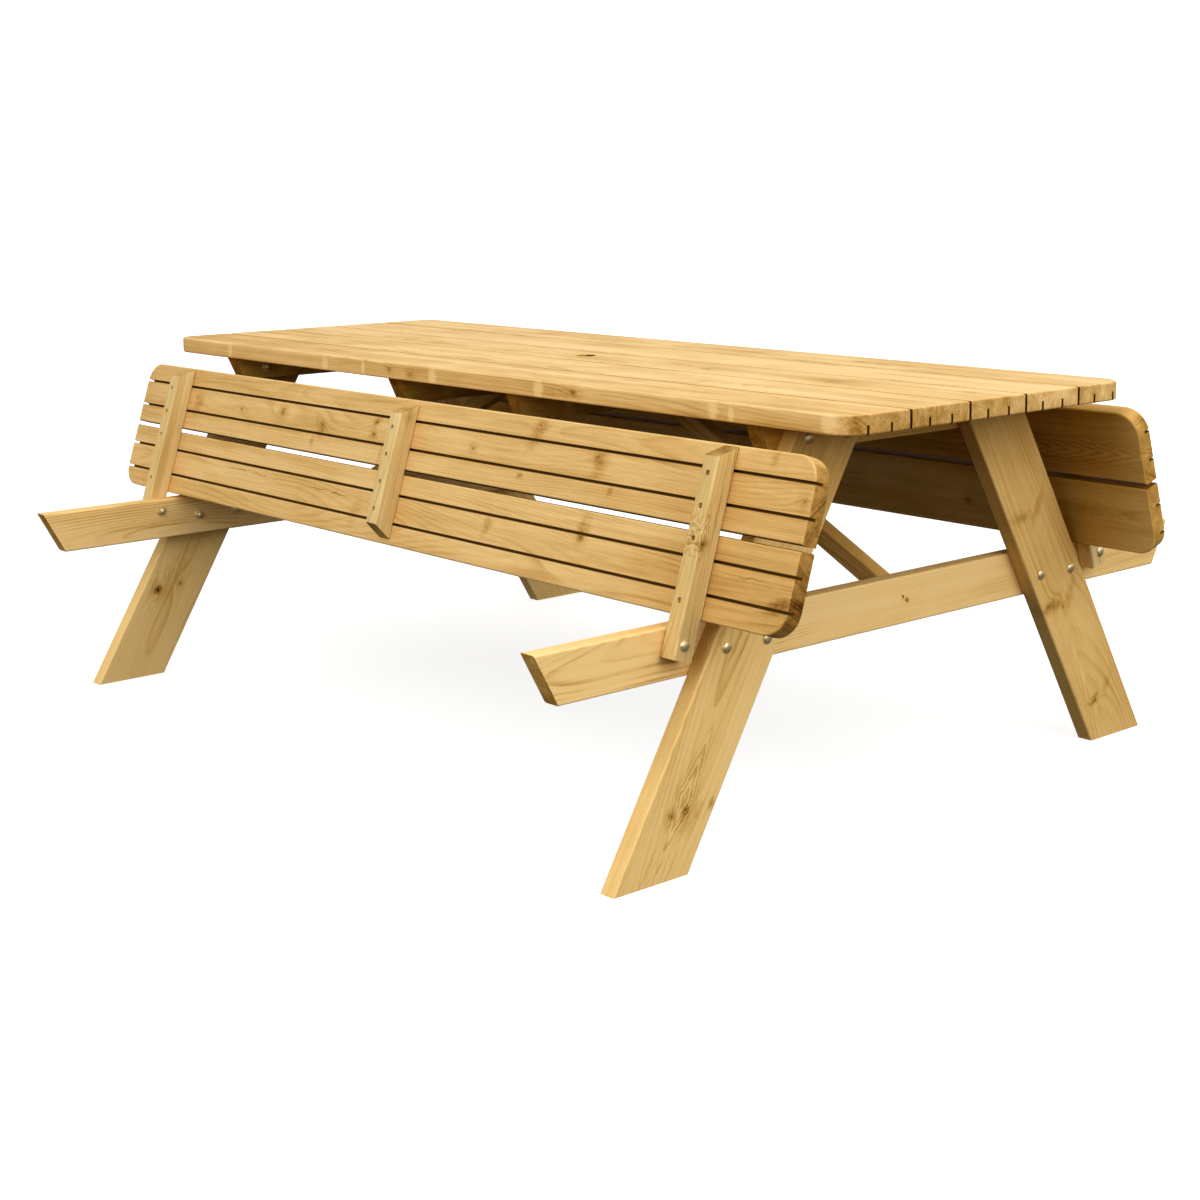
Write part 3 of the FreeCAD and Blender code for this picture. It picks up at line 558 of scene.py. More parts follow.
def flame(mark, own, depth, mottle):
    """Darkens the wood in arched or pointed lines."""
    run, side, _ = own.parts()
    arrows = mark.kind == "arrows"
    ahead = run * ARROW_PITCH if arrows else run.maths("ABSOLUTE")
    reach = ahead + (side * side + FLAME_TIP).maths("SQRT") + (mottle - MIDDLE) * FLAME_WOBBLE
    inside = own.length().step(*ARROW_ENDS) if arrows else reach.step(*FLAME_ENDS)
    lines = (reach * FLAME_LINES).maths("FRACT")
    line = lines.step(*LINE_RISE_ENDS) * lines.step(*LINE_FALL_ENDS)
    return depth + line * inside * (mark.dark * FLAME_DEPTH)


def soft_mark(mark, near, depth, mottle):
    """Darkens the wood in a soft patch or line, or makes it paler. A shade mark is painted shade."""
    soft = SOFT_MARKS[mark.kind]
    patch = near.step(*soft.ends)
    if mark.kind == "smudge":
        patch = patch * (mottle * SMUDGE_CLOUD - SMUDGE_LOSS)
    return depth + patch * (mark.dark * soft.strength)


def knot(mark, near, depth, mottle):
    """Puts a knot into the wood."""
    rough = near * (mottle * KNOT_RAGGED + (1 - KNOT_RAGGED * MIDDLE))
    core = rough.step(*CORE_ENDS) * (CORE_DEPTH * mark.dark)
    rim = rough.step(*RIM_ENDS) * (RIM_DEPTH * mark.dark)
    wood = core + rim + (KNOT_DEPTH + KNOT_DARKER * mark.dark)
    depth = depth + rough.step(*HALO_ENDS) * (mottle * HALO_CLOUD + HALO_LEAST) * mark.dark
    return depth + rough.step(*KNOT_ENDS) * (wood - depth)


def add_mark(mark, sawn, timber, at, phase, depth, mottle):
    """Adds one mark to the ring pattern and to the darkness of the wood."""
    own = mark_space(mark, sawn, timber, at)
    if mark.kind in ("flame", "arrows"):
        return phase, flame(mark, own, depth, mottle)
    if mark.kind in SOFT_MARKS:
        return phase, soft_mark(mark, own.length(), depth, mottle)
    bend = mark_space(mark, sawn, timber, at, (BEND_LENGTH / mark.stretch, BEND_WIDTH)).length()
    bulge = (bend * -BEND_FADE).maths("EXPONENT") * BEND_RINGS
    return phase + bulge, knot(mark, own.length(), depth, mottle)


class TimberSettings(bpy.types.PropertyGroup):
    """The finish of all timber."""

    bleached: colour_setting(
        "Bleached wood", "Colour of the lightest patches and of worn edges", (1.0, 0.71, 0.345))
    pale: colour_setting("Pale wood", "Colour of the palest wood", (0.93, 0.635, 0.275))
    honey: colour_setting("Honey wood", "Colour of most of the wood", (0.735, 0.445, 0.148))
    amber: colour_setting("Amber wood", "Colour of darker streaks", (0.52, 0.278, 0.068))
    grain: colour_setting("Grain", "Colour of the darkest grain lines", (0.27, 0.122, 0.016))
    knot: colour_setting("Knots", "Colour of the darkest parts of a knot", (0.075, 0.027, 0.002))
    ring_width: length_setting(
        "Ring width", "Distance between two yearly rings", low=0.001, high=0.02, default=0.0034)
    relief: length_setting(
        "Grain relief", "Height of the hard rings above the soft wood", low=0, high=0.002, default=0.0001)
    # The paler band along an edge is partly wear and partly painted highlight.
    worn_and_highlit_edge: length_setting(
        "Worn edge", "Width of the paler band along an edge", low=0, high=0.02, default=0.005)
    roughness: FloatProperty(
        name="Roughness",
        description="How matt the planed wood is",
        subtype="FACTOR",
        min=0,
        max=1,
        default=0.6,
    )


# How lively a kind of timber is: its broad streaks, its rings, its fine fibres,
# how much darker its end grain is, partly its own colour and partly painted shade, the tone of the painted
# shade on its sides in a gap, how much painted shade it takes where other timbers stand close by,
# and the tint over all of it.
Kind = namedtuple("Kind", "life rings fibres end gap shade tint")

KINDS = {
    "cleat": Kind(0.70, 0.30, 0.26, 0.34, 0.95, 0.00, (0.95, 1.05, 1.14)),
    "seat_back": Kind(0.55, 0.20, 0.24, 0.34, 0.60, 1.00, (1.02, 1.00, 0.84)),
    "seat_front": Kind(0.60, 0.20, 0.30, 0.34, 0.95, 0.15, (1.00, 1.00, 1.00)),
    "board_1": Kind(1.00, 0.28, 0.34, 0.28, 0.95, 0.30, (1.00, 1.00, 1.00)),
    "tabletop": Kind(1.00, 0.28, 0.34, 0.26, 0.95, 0.30, (1.00, 1.00, 1.00)),
    "leg": Kind(0.46, 0.26, 0.15, 0.20, 0.95, 0.35, (1.02, 1.01, 0.90)),
    "beam": Kind(0.78, 0.58, 0.20, 0.55, 0.95, 0.30, (1.07, 1.05, 0.95)),
    "batten": Kind(0.70, 0.28, 0.26, 0.50, 0.95, 0.80, (1.05, 1.02, 0.80)),
    "brace": Kind(0.70, 0.28, 0.26, 0.30, 0.95, 0.50, (1.05, 1.00, 0.85)),
}

# The noise patterns in a timber, by features along the grain, across it and through it,
# and how many features away from its middle chance may put each.
PATTERNS = {
    "wave": Pattern((1.3, 7, 7), 1.0),
    "jitter": Pattern((70, 70, 70), 2.0),
    "bands": Pattern((0.6, 26, 26), 1.0),
    "streaks": Pattern((1.8, 130, 130), 2.0, 0.65),
    "patches": Pattern((5, 11, 11), 2.0),
    "fibres": Pattern((10, 420, 420), 2.0, 0.6),
    "mottle": Pattern((60, 140, 140), 2.0, 0.6),
    "checks": Pattern((60, 1, 1), 1.0),
    "stain": Pattern((40, 40, 40), 3.0),
}
FAR_OFF = 50

# The rings: how far the tree bows, how much of its drift goes through the board, how far
# the rings wander, and how much they differ from year to year and from patch to patch.
# The last is how far in metres the outline of a mark is shaken.
BOW = 0.05
THROUGH_DRIFT = 0.6
RING_WANDER = 2.0
RING_CHANCE = 0.75
LATE_RISE_ENDS = (0.4, 0.9)
LATE_FALL_ENDS = (1.0, 0.93)
CLEAR_ENDS = (0.35, 0.65)
CLEAR_SHARE = 0.6
RING_LIFT = 0.05
MARK_JITTER = 0.010

# How much each pattern darkens the wood.
BAND_DEPTH = 0.62
STREAK_DEPTH = 0.46
PATCH_DEPTH = 0.44
MOTTLE_DEPTH = 0.10

# End grain: how squarely a side faces along the grain, and the checks and stains in it.
END_ENDS = (0.55, 0.85)
END_RING_LOSS = 0.6
SPOKE_STRETCH = 6
CHECK_ENDS = (0.56, 0.74)
CHECK_DEPTH = 0.22
STAIN_DEPTH = 0.5

# Arrises made paler, partly by wear and partly as painted highlight; painted shade on sides that face a
# gap;
# and painted shade in a board's relief grooves: how far in metres it lies from the board's middle line,
# its half width, how soft it ends and how deep it reaches.
WORN_AND_HIGHLIT_LIFT = 0.16
GAP_SHADE_ENDS = (0.5, 0.9)
GROOVE_PLACE = 0.028
GROOVE_HALF = 0.0024
GROOVE_SOFT = 0.0009
GROOVE_FLOOR = 0.0165
GROOVE_SHADE_TONE = 0.84

# Painted shade: an Ambient Occlusion node darkens the wood's colour towards this where other timbers stand
# close.
SHADE_SAMPLES = 6
SHADE_REACH = 0.45
SHADE_ENDS = (0.95, 0.45)
DEEP_SHADE = (0.48, 0.35, 0.04)

# The planed surface.
FIBRE_ROUGHNESS = 0.22
LATE_SMOOTHNESS = 0.08
END_ROUGHNESS = 0.12
LATE_HEIGHT = 0.7
FIBRE_HEIGHT = 0.6
WOOD_BUMP = 0.5
WOOD_SHINE = 0.08


def gap_sides(node):
    """The sides of a board that face a neighbour across a gap: -1 is its low side, 1 its high one."""
    if node.startswith("tabletop_board"):
        number = int(node[-1])
        return [side for side, last in ((-1, 1), (1, TOP_BOARDS)) if number != last]
    if "board" in node:
        return [-1] if "outer" in node else [1]
    return []


def groove_shade(node, timber, across, through):
    """1 inside the relief grooves under a board, 0 elsewhere."""
    under = 1 if node.startswith("seat_front") else -1
    off = (across.maths("ABSOLUTE") - GROOVE_PLACE).maths("ABSOLUTE")
    floor = timber.half_thickness - GROOVE_FLOOR
    deep = (through * under).step(floor - GROOVE_SOFT, floor)
    return off.step(GROOVE_HALF + GROOVE_SOFT, GROOVE_HALF) * deep


def kind_of(node):
    """The kind of a timber, from the first listed word in its name."""
    return next(kind for word, kind in KINDS.items() if word in node)


def wood_colour(place, depth, kind, look):
    """The wood's colour from its depth of tone, tinted for its kind and darkened with painted shade where
    timbers stand close by.
    """
    colours = (look.bleached, look.pale, look.honey, look.amber, look.grain, look.knot)
    stops = [(number / (len(colours) - 1), colour) for number, colour in enumerate(colours)]
    pale_stop = stops[1][0]
    tone = depth * (1 - pale_stop) + pale_stop
    colour = tone.node("ShaderNodeValToRGB", {"stops": stops}, {0: tone}).multiplied(kind.tint)
    if not kind.shade:
        return colour
    # Painted shade from an Ambient Occlusion node: the colour darkens towards DEEP_SHADE where other
    # timbers stand close.
    light = place.node("ShaderNodeAmbientOcclusion", {"samples": SHADE_SAMPLES}, {"Distance": SHADE_REACH},
                       out="AO")
    return colour.multiplied(DEEP_SHADE, light.step(*SHADE_ENDS) * kind.shade)


def pine(node, timber, sawn, marks, look):
    """Planed pine for one timber: yearly rings round a pith, fibres, knots, end grain, arrises made paler
    by wear and painted highlight, and painted shade in grooves, on gap sides and where timbers stand close.
    """
    dice = random.Random(f"pine_{node}")
    kind = kind_of(node)
    material, shader, source = new_material(f"pine_{node}")
    turn = timber.turn.to_euler()
    place = Value(source["Object"]).turned(timber.middle, turn)
    along, across, through = place.parts()
    facing_along, facing_across, _ = Value(source["Normal"]).turned(turn=turn).parts()

    def pattern(name, at=place, out=0):
        """One of the patterns at a point, moved by chance."""
        per_metre = PATTERNS[name].per_metre
        return at.pattern(PATTERNS[name], tuple(dice.uniform(-FAR_OFF, FAR_OFF) for _ in per_metre), out)

    wave_a, wave_b, wave_c = pattern("wave", out="Color").parts()
    pith_a = across - along * sawn.drift + wave_a * BOW - (sawn.across / MM_PER_METRE + BOW / 2)
    pith_b = (through - along * (sawn.drift * THROUGH_DRIFT) + wave_b * BOW
              - (sawn.through / MM_PER_METRE + BOW / 2))
    radius = (pith_a * pith_a + pith_b * pith_b).maths("SQRT")
    phase = radius / look.ring_width + wave_c * RING_WANDER

    reach, middle = (MARK_JITTER, MARK_JITTER, 0), (-MARK_JITTER / 2, -MARK_JITTER / 2, 0)
    jitter = pattern("jitter", out="Color").vector("MULTIPLY_ADD", reach, middle)
    shaken = place.vector("ADD", jitter)

    bands, streaks, patches, fibres, mottle = [
        pattern(name) for name in ("bands", "streaks", "patches", "fibres", "mottle")]
    depth = ((bands - MIDDLE) * (BAND_DEPTH * kind.life) + (streaks - MIDDLE) * (STREAK_DEPTH * kind.life)
             + (patches - MIDDLE) * (PATCH_DEPTH * kind.life) + (fibres - MIDDLE) * kind.fibres
             + (mottle - MIDDLE) * MOTTLE_DEPTH + sawn.tone)
    for mark in marks:
        phase, depth = add_mark(mark, sawn, timber, shaken, phase, depth, mottle)

    within = phase.maths("FRACT")
    year = phase.maths("FLOOR")
    chance = year.node("ShaderNodeTexWhiteNoise", {"noise_dimensions": "1D"}, {"W": year})
    late = (within.step(*LATE_RISE_ENDS) * within.step(*LATE_FALL_ENDS)
            * (chance * RING_CHANCE + (1 - RING_CHANCE)))
    clear = patches.step(*CLEAR_ENDS) * CLEAR_SHARE + (1 - CLEAR_SHARE)
    end = facing_along.maths("ABSOLUTE").step(*END_ENDS)
    depth = depth + late * clear * (1 - end * END_RING_LOSS) * kind.rings - RING_LIFT

    round_pith = pith_b.maths("ARCTAN2", pith_a)
    spoke = radius.node("ShaderNodeCombineXYZ", values={"X": round_pith, "Y": radius * SPOKE_STRETCH})
    checks = pattern("checks", spoke).step(*CHECK_ENDS)
    stain = pattern("stain")
    # End grain darkens with its checks and stains and by a set depth for its kind; that depth is partly the
    # wood's own darker end grain and partly painted shade.
    depth = depth + end * (checks * CHECK_DEPTH + (stain - MIDDLE) * STAIN_DEPTH + kind.end)

    # Arrises made paler: partly wear, partly painted highlight.
    edge_a = across.maths("ABSOLUTE").step(timber.half_width - look.worn_and_highlit_edge, timber.half_width)
    edge_b = through.maths("ABSOLUTE").step(timber.half_thickness - look.worn_and_highlit_edge, timber.half_thickness)
    depth = depth - edge_a * edge_b * (streaks * WORN_AND_HIGHLIT_LIFT)
    # Painted shade inside the relief grooves under a board.
    if "board" in node:
        depth = depth + groove_shade(node, timber, across, through) * (GROOVE_SHADE_TONE - depth)
    # Painted shade on the sides of boards that face a gap.
    for side in gap_sides(node):
        depth = depth + (facing_across * side).step(*GAP_SHADE_ENDS) * (kind.gap - depth)

    wood_colour(place, depth, kind, look).feed(shader, "Base Color")
    rough = (fibres - MIDDLE) * FIBRE_ROUGHNESS + look.roughness
    rough = rough - late * LATE_SMOOTHNESS + end * END_ROUGHNESS
    rough.feed(shader, "Roughness")
    height = late * LATE_HEIGHT + fibres * FIBRE_HEIGHT
    height.bump(WOOD_BUMP, look.relief).feed(shader, "Normal")
    shader.inputs["Specular IOR Level"].default_value = WOOD_SHINE
    return material


# What chance gives a timber that isn't in the list of sawn boards.
CHANCE_ACROSS = (-40, 40)
CHANCE_THROUGH = (50, 90)
CHANCE_DRIFT = (-0.04, 0.04)
CHANCE_TONE = (0.1, 0.2)


def finish_timber(context, nodes):
    """Gives each of these timbers its own pine."""
    look = context.scene.picnic_timber
    for node in nodes:
        dice = random.Random(f"{node} log")
        sawn = SAWN.get(node) or Sawn(dice.uniform(*CHANCE_ACROSS), -dice.uniform(*CHANCE_THROUGH),
                                      dice.uniform(*CHANCE_DRIFT), dice.uniform(*CHANCE_TONE))
        material = pine(node, timber_of(node), sawn, MARKS.get(node, []), look)
        slots = NODES[node].material_slots
        if not slots:
            raise RuntimeError(f"{node} has no material slot")
        for slot in slots:
            slot.material = material


def timbers(*words):
    """The timber nodes whose names hold one of these words."""
    fixings = ("bolt", "washer", "nut", "screw")
    return [node for node in sorted(NODES)
            if any(word in node for word in words) and not any(word in node for word in fixings)]


class PICNIC_OT_tabletop(bpy.types.Operator):
    """Finishes the boards of the tabletop"""

    bl_idname = "picnic.tabletop"
    bl_label = "Tabletop boards"

    def execute(self, context):
        finish_timber(context, timbers("tabletop_board"))
        return {"FINISHED"}


class PICNIC_OT_frame(bpy.types.Operator):
    """Finishes the legs, cross-beams, battens and braces"""

    bl_idname = "picnic.frame"
    bl_label = "Legs, beams, battens and braces"

    def execute(self, context):
        finish_timber(context, timbers("leg", "cross_beam", "batten", "brace"))
        return {"FINISHED"}


class PICNIC_OT_seats(bpy.types.Operator):
    """Finishes the boards and cleats of both seats"""

    bl_idname = "picnic.seats"
    bl_label = "Seats"

    def execute(self, context):
        finish_timber(context, timbers("seat_front", "seat_back"))
        return {"FINISHED"}


# Sizes of the fixings, in metres.
BOLT_HEAD = 0.010
HEAD_HEIGHT = 0.005
NECK = 0.005
NECK_GAP = 0.00002
SHANK = 0.004
THREADED = 0.016
THREAD_FADE = 0.0008
TIP = 0.001
NUT_WIDTH = 0.013
NUT_HEIGHT = 0.0065
BORE_GAP = 0.00005
WASHER = 0.0105
WASHER_THICKNESS = 0.0016
SCREW_HEAD = 0.0043
SCREW_HEAD_HEIGHT = 0.0024
SCREW_SHANK = 0.00225
SCREW_SPARE = 0.0002
DRIVE = 0.00215
DRIVE_DEPTH = 0.0016

# Shares of those sizes and of a turn, and the chamfer's slope in degrees.
HALF_TURN = 0.5
TIP_WIDTH = 0.75
NUT_FACE = 0.475
NUT_SPARE_WIDTH = 1.01
NUT_SPARE_HEIGHT = 0.51
CHAMFER_SLOPE = 30
WASHER_SOFT = 0.2
SCREW_THREADED = 0.9
SCREW_HEAD_EDGE = 0.12
DRIVE_INNER = 0.72

# How finely the fixings are drawn, the angle that makes an edge crisp, and the seeds of their turns.
CREASE = 0.6
ROUND_SIDES = 32
SCREW_SIDES = 16
DOME_STEPS = 7
THREAD_RINGS = 60
NUT_CORNERS = 6
DRIVE_POINTS = 6
NUT_SEED = 5
WASHER_SEED = 7
SCREW_SEED = 11

# How the CAD model's own fixings are measured: points closer than this are one, this share of
# a fixing's length is its end, and places are sorted by this many digits.
CAD_WELD = 0.00001
END_SHARE = 0.25
SORT_DIGITS = 4


class FixingSettings(bpy.types.PropertyGroup):
    """Sizes and colours of the bolts, nuts, washers and screws."""

    plating: colour_setting("Bolt plating", "Colour of the bolts, nuts and washers", (1.0, 0.83, 0.48))
    screw_metal: colour_setting("Screw metal", "Colour of the wood screws", (0.62, 0.43, 0.19))
    head_rim: length_setting(
        "Head rim", "Height of the straight rim under a bolt's dome", low=0, high=0.003, default=0.0009)
    thread_pitch: length_setting(
        "Thread pitch", "Distance between two turns of a bolt's thread",
        low=0.0005, high=0.003, default=0.00125)
    thread_depth: length_setting(
        "Thread depth", "How deep a bolt's thread is cut", low=0.0001, high=0.001, default=0.0006)


Fixing = namedtuple("Fixing", "middle facing length")


def fixings_of(node):
    """Each separate fixing in a CAD node: its middle, the way its head faces and its length."""
    mesh = bmesh.new()
    mesh.from_mesh(NODES[node].data)
    bmesh.ops.remove_doubles(mesh, verts=mesh.verts, dist=CAD_WELD)
    seen = set()
    found = []
    for first in mesh.verts:
        if first in seen:
            continue
        island, edge = [], [first]
        seen.add(first)
        while edge:
            vert = edge.pop()
            island.append(vert.co[:])
            fresh = [link.other_vert(vert) for link in vert.link_edges if link.other_vert(vert) not in seen]
            seen.update(fresh)
            edge.extend(fresh)
        found.append(measure_fixing(np.array(island), "screw" in node))
    mesh.free()
    return sorted(found, key=lambda fixing: tuple(round(part, SORT_DIGITS) for part in fixing.middle))


def measure_fixing(points, slanted):
    """One round fixing, from its points. Only screws lie aslant: bolts run along the table."""
    centre = points.mean(0)
    if slanted:
        _, _, axes = np.linalg.svd(points - centre, full_matrices=False)
        axis = axes[0]
    else:
        axis = np.array(ALONG_TABLE)
    reach = (points - centre) @ axis
    length = reach.max() - reach.min()
    middle = centre + axis * (reach.max() + reach.min()) / 2
    off = np.linalg.norm(points - centre - np.outer(reach, axis), axis=1)
    high, low = [off[np.abs(reach - end) < END_SHARE * length].max() for end in (reach.max(), reach.min())]
    if slanted:
        facing = axis if high > low else -axis
    else:
        facing = axis * np.sign(middle[LENGTHWAYS])
    return Fixing(tuple(middle), tuple(facing), float(length))


class Works(Value):
    """A Geometry Nodes tree in the making. Its named inputs are its sizes, in their order."""

    def __init__(self, name, *sizes):
        tree = bpy.data.node_groups.new(name, "GeometryNodeTree")
        tree.interface.new_socket("Places", in_out="INPUT", socket_type="NodeSocketGeometry")
        for size in sizes:
            tree.interface.new_socket(size, in_out="INPUT", socket_type="NodeSocketFloat")
        tree.interface.new_socket("Fixings", in_out="OUTPUT", socket_type="NodeSocketGeometry")
        source = tree.nodes.new("NodeGroupInput")
        super().__init__(source.outputs["Places"])
        self.tree = tree
        self.sizes = [Value(source.outputs[size]) for size in sizes]

    def at(self, x=0.0, y=0.0, z=0.0):
        """A vector from its three parts."""
        return self.node("ShaderNodeCombineXYZ", values={"X": x, "Y": y, "Z": z})

    def lifted(self, shape, height):
        """A shape moved along its axis."""
        sockets = {"Geometry": shape, "Translation": self.at(z=height)}
        return self.node("GeometryNodeTransform", values=sockets)

    def cylinder(self, fill, sizes):
        """A cylinder round its own middle, with open or filled ends."""
        return self.node("GeometryNodeMeshCylinder", {"fill_type": fill}, sizes)

    def lathe(self, profile, sides):
        """A round shape from its outline: pairs of radius and height, each no lower than the last."""
        bands = []
        for (low_radius, low), (high_radius, high) in zip(profile, profile[1:]):
            sizes = {"Vertices": sides, "Radius Bottom": low_radius, "Radius Top": high_radius,
                     "Depth": high - low}
            band = self.node("GeometryNodeMeshCone", {"fill_type": "NONE"}, sizes)
            bands.append(self.lifted(band, low))
        return self.joined(bands)

    def joined(self, shapes):
        """Shapes joined where they meet."""
        one = self.node("GeometryNodeJoinGeometry", values={"Geometry": shapes})
        return self.node("GeometryNodeMergeByDistance", values={"Geometry": one, "Distance": SAME_PLACE})

    def cut(self, operation, sockets):
        """A solid cut from others."""
        return self.node("GeometryNodeMeshBoolean", {"operation": operation, "solver": "EXACT"}, sockets)

    def place(self, shape, material, seed):
        """Puts the shape at every place, facing its own way. A seed turns each by chance on its axis."""
        facing = self.node("GeometryNodeInputNamedAttribute", {"data_type": "FLOAT_VECTOR"},
                           {"Name": "facing"})
        aimed = self.node("FunctionNodeAlignRotationToVector", {"axis": "Z"}, {"Vector": facing})
        limits = {RANDOM_LEAST: 0.0, RANDOM_MOST: math.tau if seed else 0.0, "Seed": seed}
        chance = self.node("FunctionNodeRandomValue", {"data_type": "FLOAT"}, limits, RANDOM_RESULT)
        spin = self.node("FunctionNodeAxisAngleToRotation", values={"Axis": UPRIGHT, "Angle": chance})
        turn = self.node("FunctionNodeRotateRotation", {"rotation_space": "LOCAL"},
                         {"Rotation": aimed, "Rotate By": spin})
        sockets = {"Points": self, "Instance": shape, "Rotation": turn}
        many = self.node("GeometryNodeInstanceOnPoints", values=sockets)
        real = self.node("GeometryNodeRealizeInstances", values={"Geometry": many})
        soft = self.node("GeometryNodeSetShadeSmooth", {"domain": "FACE"}, {0: real, "Shade Smooth": True})
        angle = self.node("GeometryNodeInputMeshEdgeAngle")
        sharp = angle.node("FunctionNodeCompare", {"data_type": "FLOAT", "operation": "GREATER_THAN"},
                           {0: angle, 1: CREASE})
        crisp = self.node("GeometryNodeSetShadeSmooth", {"domain": "EDGE"},
                          {0: soft, "Selection": sharp, "Shade Smooth": False})
        done = self.node("GeometryNodeSetMaterial", values={"Geometry": crisp, "Material": material})
        out = self.tree.nodes.new("NodeGroupOutput")
        self.tree.links.new(done.socket, out.inputs["Fixings"])


def bolt_works(material):
    """Carriage bolt: domed head, square neck, shank and a cut thread. Its head sits at the origin."""
    works = Works("carriage_bolt", "Head radius", "Head height", "Head rim", "Neck", "Shank radius",
                  "Length", "Thread pitch", "Thread depth")
    head, tall, rim, neck, shank, length, pitch, cut = works.sizes
    dome = tall - rim
    profile = [(shank, length * -1 + THREADED), (shank, 0.0), (head, 0.0), (head, rim)]
    for step in range(1, DOME_STEPS):
        angle = math.radians(RIGHT_ANGLE) * step / DOME_STEPS
        profile.append((head * math.cos(angle), rim + dome * math.sin(angle)))
    profile.append((0.0, tall))
    body = works.lathe(profile, ROUND_SIDES)
    run = THREADED - TIP
    sizes = {"Vertices": ROUND_SIDES, "Side Segments": THREAD_RINGS, "Radius": shank, "Depth": run}
    thread = works.cylinder("NONE", sizes)
    point = works.node("GeometryNodeInputPosition")
    x, y, z = point.parts()
    winding = z / pitch - y.maths("ARCTAN2", x) / math.tau
    tooth = winding.maths("PINGPONG", HALF_TURN) / HALF_TURN
    ends = (z.maths("ABSOLUTE") * -1 + run / 2).step(0.0, THREAD_FADE)
    pull = 1 - tooth * ends * cut / shank
    moved = point.vector("MULTIPLY", works.at(pull, pull, 1.0))
    thread = works.node("GeometryNodeSetPosition", values={"Geometry": thread, "Position": moved})
    thread = works.lifted(thread, length * -1 + TIP + run / 2)
    tip_profile = [(0.0, length * -1), (shank * TIP_WIDTH, length * -1), (shank, length * -1 + TIP)]
    tip = works.lathe(tip_profile, ROUND_SIDES)
    square = works.node("GeometryNodeMeshCube", values={"Size": works.at(shank * 2, shank * 2, neck)})
    square = works.lifted(square, neck * -0.5 - NECK_GAP)
    works.place(works.joined([body, thread, tip, square]), material, seed=0)
    return works.tree


def nut_works(material):
    """Hexagon nut with chamfered corners, round its own middle."""
    works = Works("hexagon_nut", "Width", "Height", "Bore radius")
    width, height, bore = works.sizes
    corner = width / (2 * math.cos(math.pi / NUT_CORNERS))
    block = works.cylinder("NGON", {"Vertices": NUT_CORNERS, "Radius": corner, "Depth": height})
    face = width * NUT_FACE
    wide = corner * NUT_SPARE_WIDTH
    slope = (wide - face) * math.tan(math.radians(CHAMFER_SLOPE))
    low, high = height * -NUT_SPARE_HEIGHT, height * NUT_SPARE_HEIGHT
    turned = works.lathe([(0.0, low), (face, low), (wide, slope + low), (wide, high - slope), (face, high),
                          (0.0, high)], ROUND_SIDES)
    chamfered = works.cut("INTERSECT", {"Mesh 2": [block, turned]})
    drill = works.cylinder("NGON", {"Vertices": ROUND_SIDES, "Radius": bore, "Depth": height * 2})
    works.place(works.cut("DIFFERENCE", {"Mesh 1": chamfered, "Mesh 2": drill}), material, NUT_SEED)
    return works.tree


def washer_works(material):
    """Flat washer with softened edges, round its own middle."""
    works = Works("washer", "Radius", "Thickness", "Bore radius")
    radius, thick, bore = works.sizes
    low, high, soft = thick * -0.5, thick * 0.5, thick * WASHER_SOFT
    outer = works.lathe([(bore, low), (radius - soft, low), (radius, low + soft), (radius, high - soft),
                         (radius - soft, high), (bore, high)], ROUND_SIDES)
    inner = works.lathe([(bore, low), (bore, high)], ROUND_SIDES)
    works.place(works.joined([outer, inner]), material, WASHER_SEED)
    return works.tree


def screw_works(material):
    """Countersunk wood screw with a six-pointed drive. The top of its head sits at the origin."""
    works = Works("wood_screw", "Head radius", "Head height", "Shank radius", "Length", "Drive radius",
                  "Drive depth")
    head, tall, shank, length, drive, deep = works.sizes
    profile = [(0.0, length * -1), (shank, length * -SCREW_THREADED), (shank, tall * -1),
               (head, tall * -SCREW_HEAD_EDGE), (head, 0.0)]
    body = works.lathe(profile, SCREW_SIDES)
    rim = works.node("GeometryNodeCurvePrimitiveCircle", values={"Resolution": SCREW_SIDES, "Radius": head})
    sizes = {"Points": DRIVE_POINTS, "Inner Radius": drive * DRIVE_INNER, "Outer Radius": drive}
    star = works.node("GeometryNodeCurveStar", values=sizes)
    outline = works.node("GeometryNodeJoinGeometry", values={"Geometry": [rim, star]})
    top = works.node("GeometryNodeFillCurve", values={0: outline})
    plug = works.node("GeometryNodeFillCurve", values={0: star})
    sockets = {"Mesh": plug, "Offset": works.at(z=-1.0), "Offset Scale": deep, "Individual": False}
    recess = works.node("GeometryNodeExtrudeMesh", {"mode": "FACES"}, sockets)
    works.place(works.joined([body, top, recess]), material, SCREW_SEED)
    return works.tree


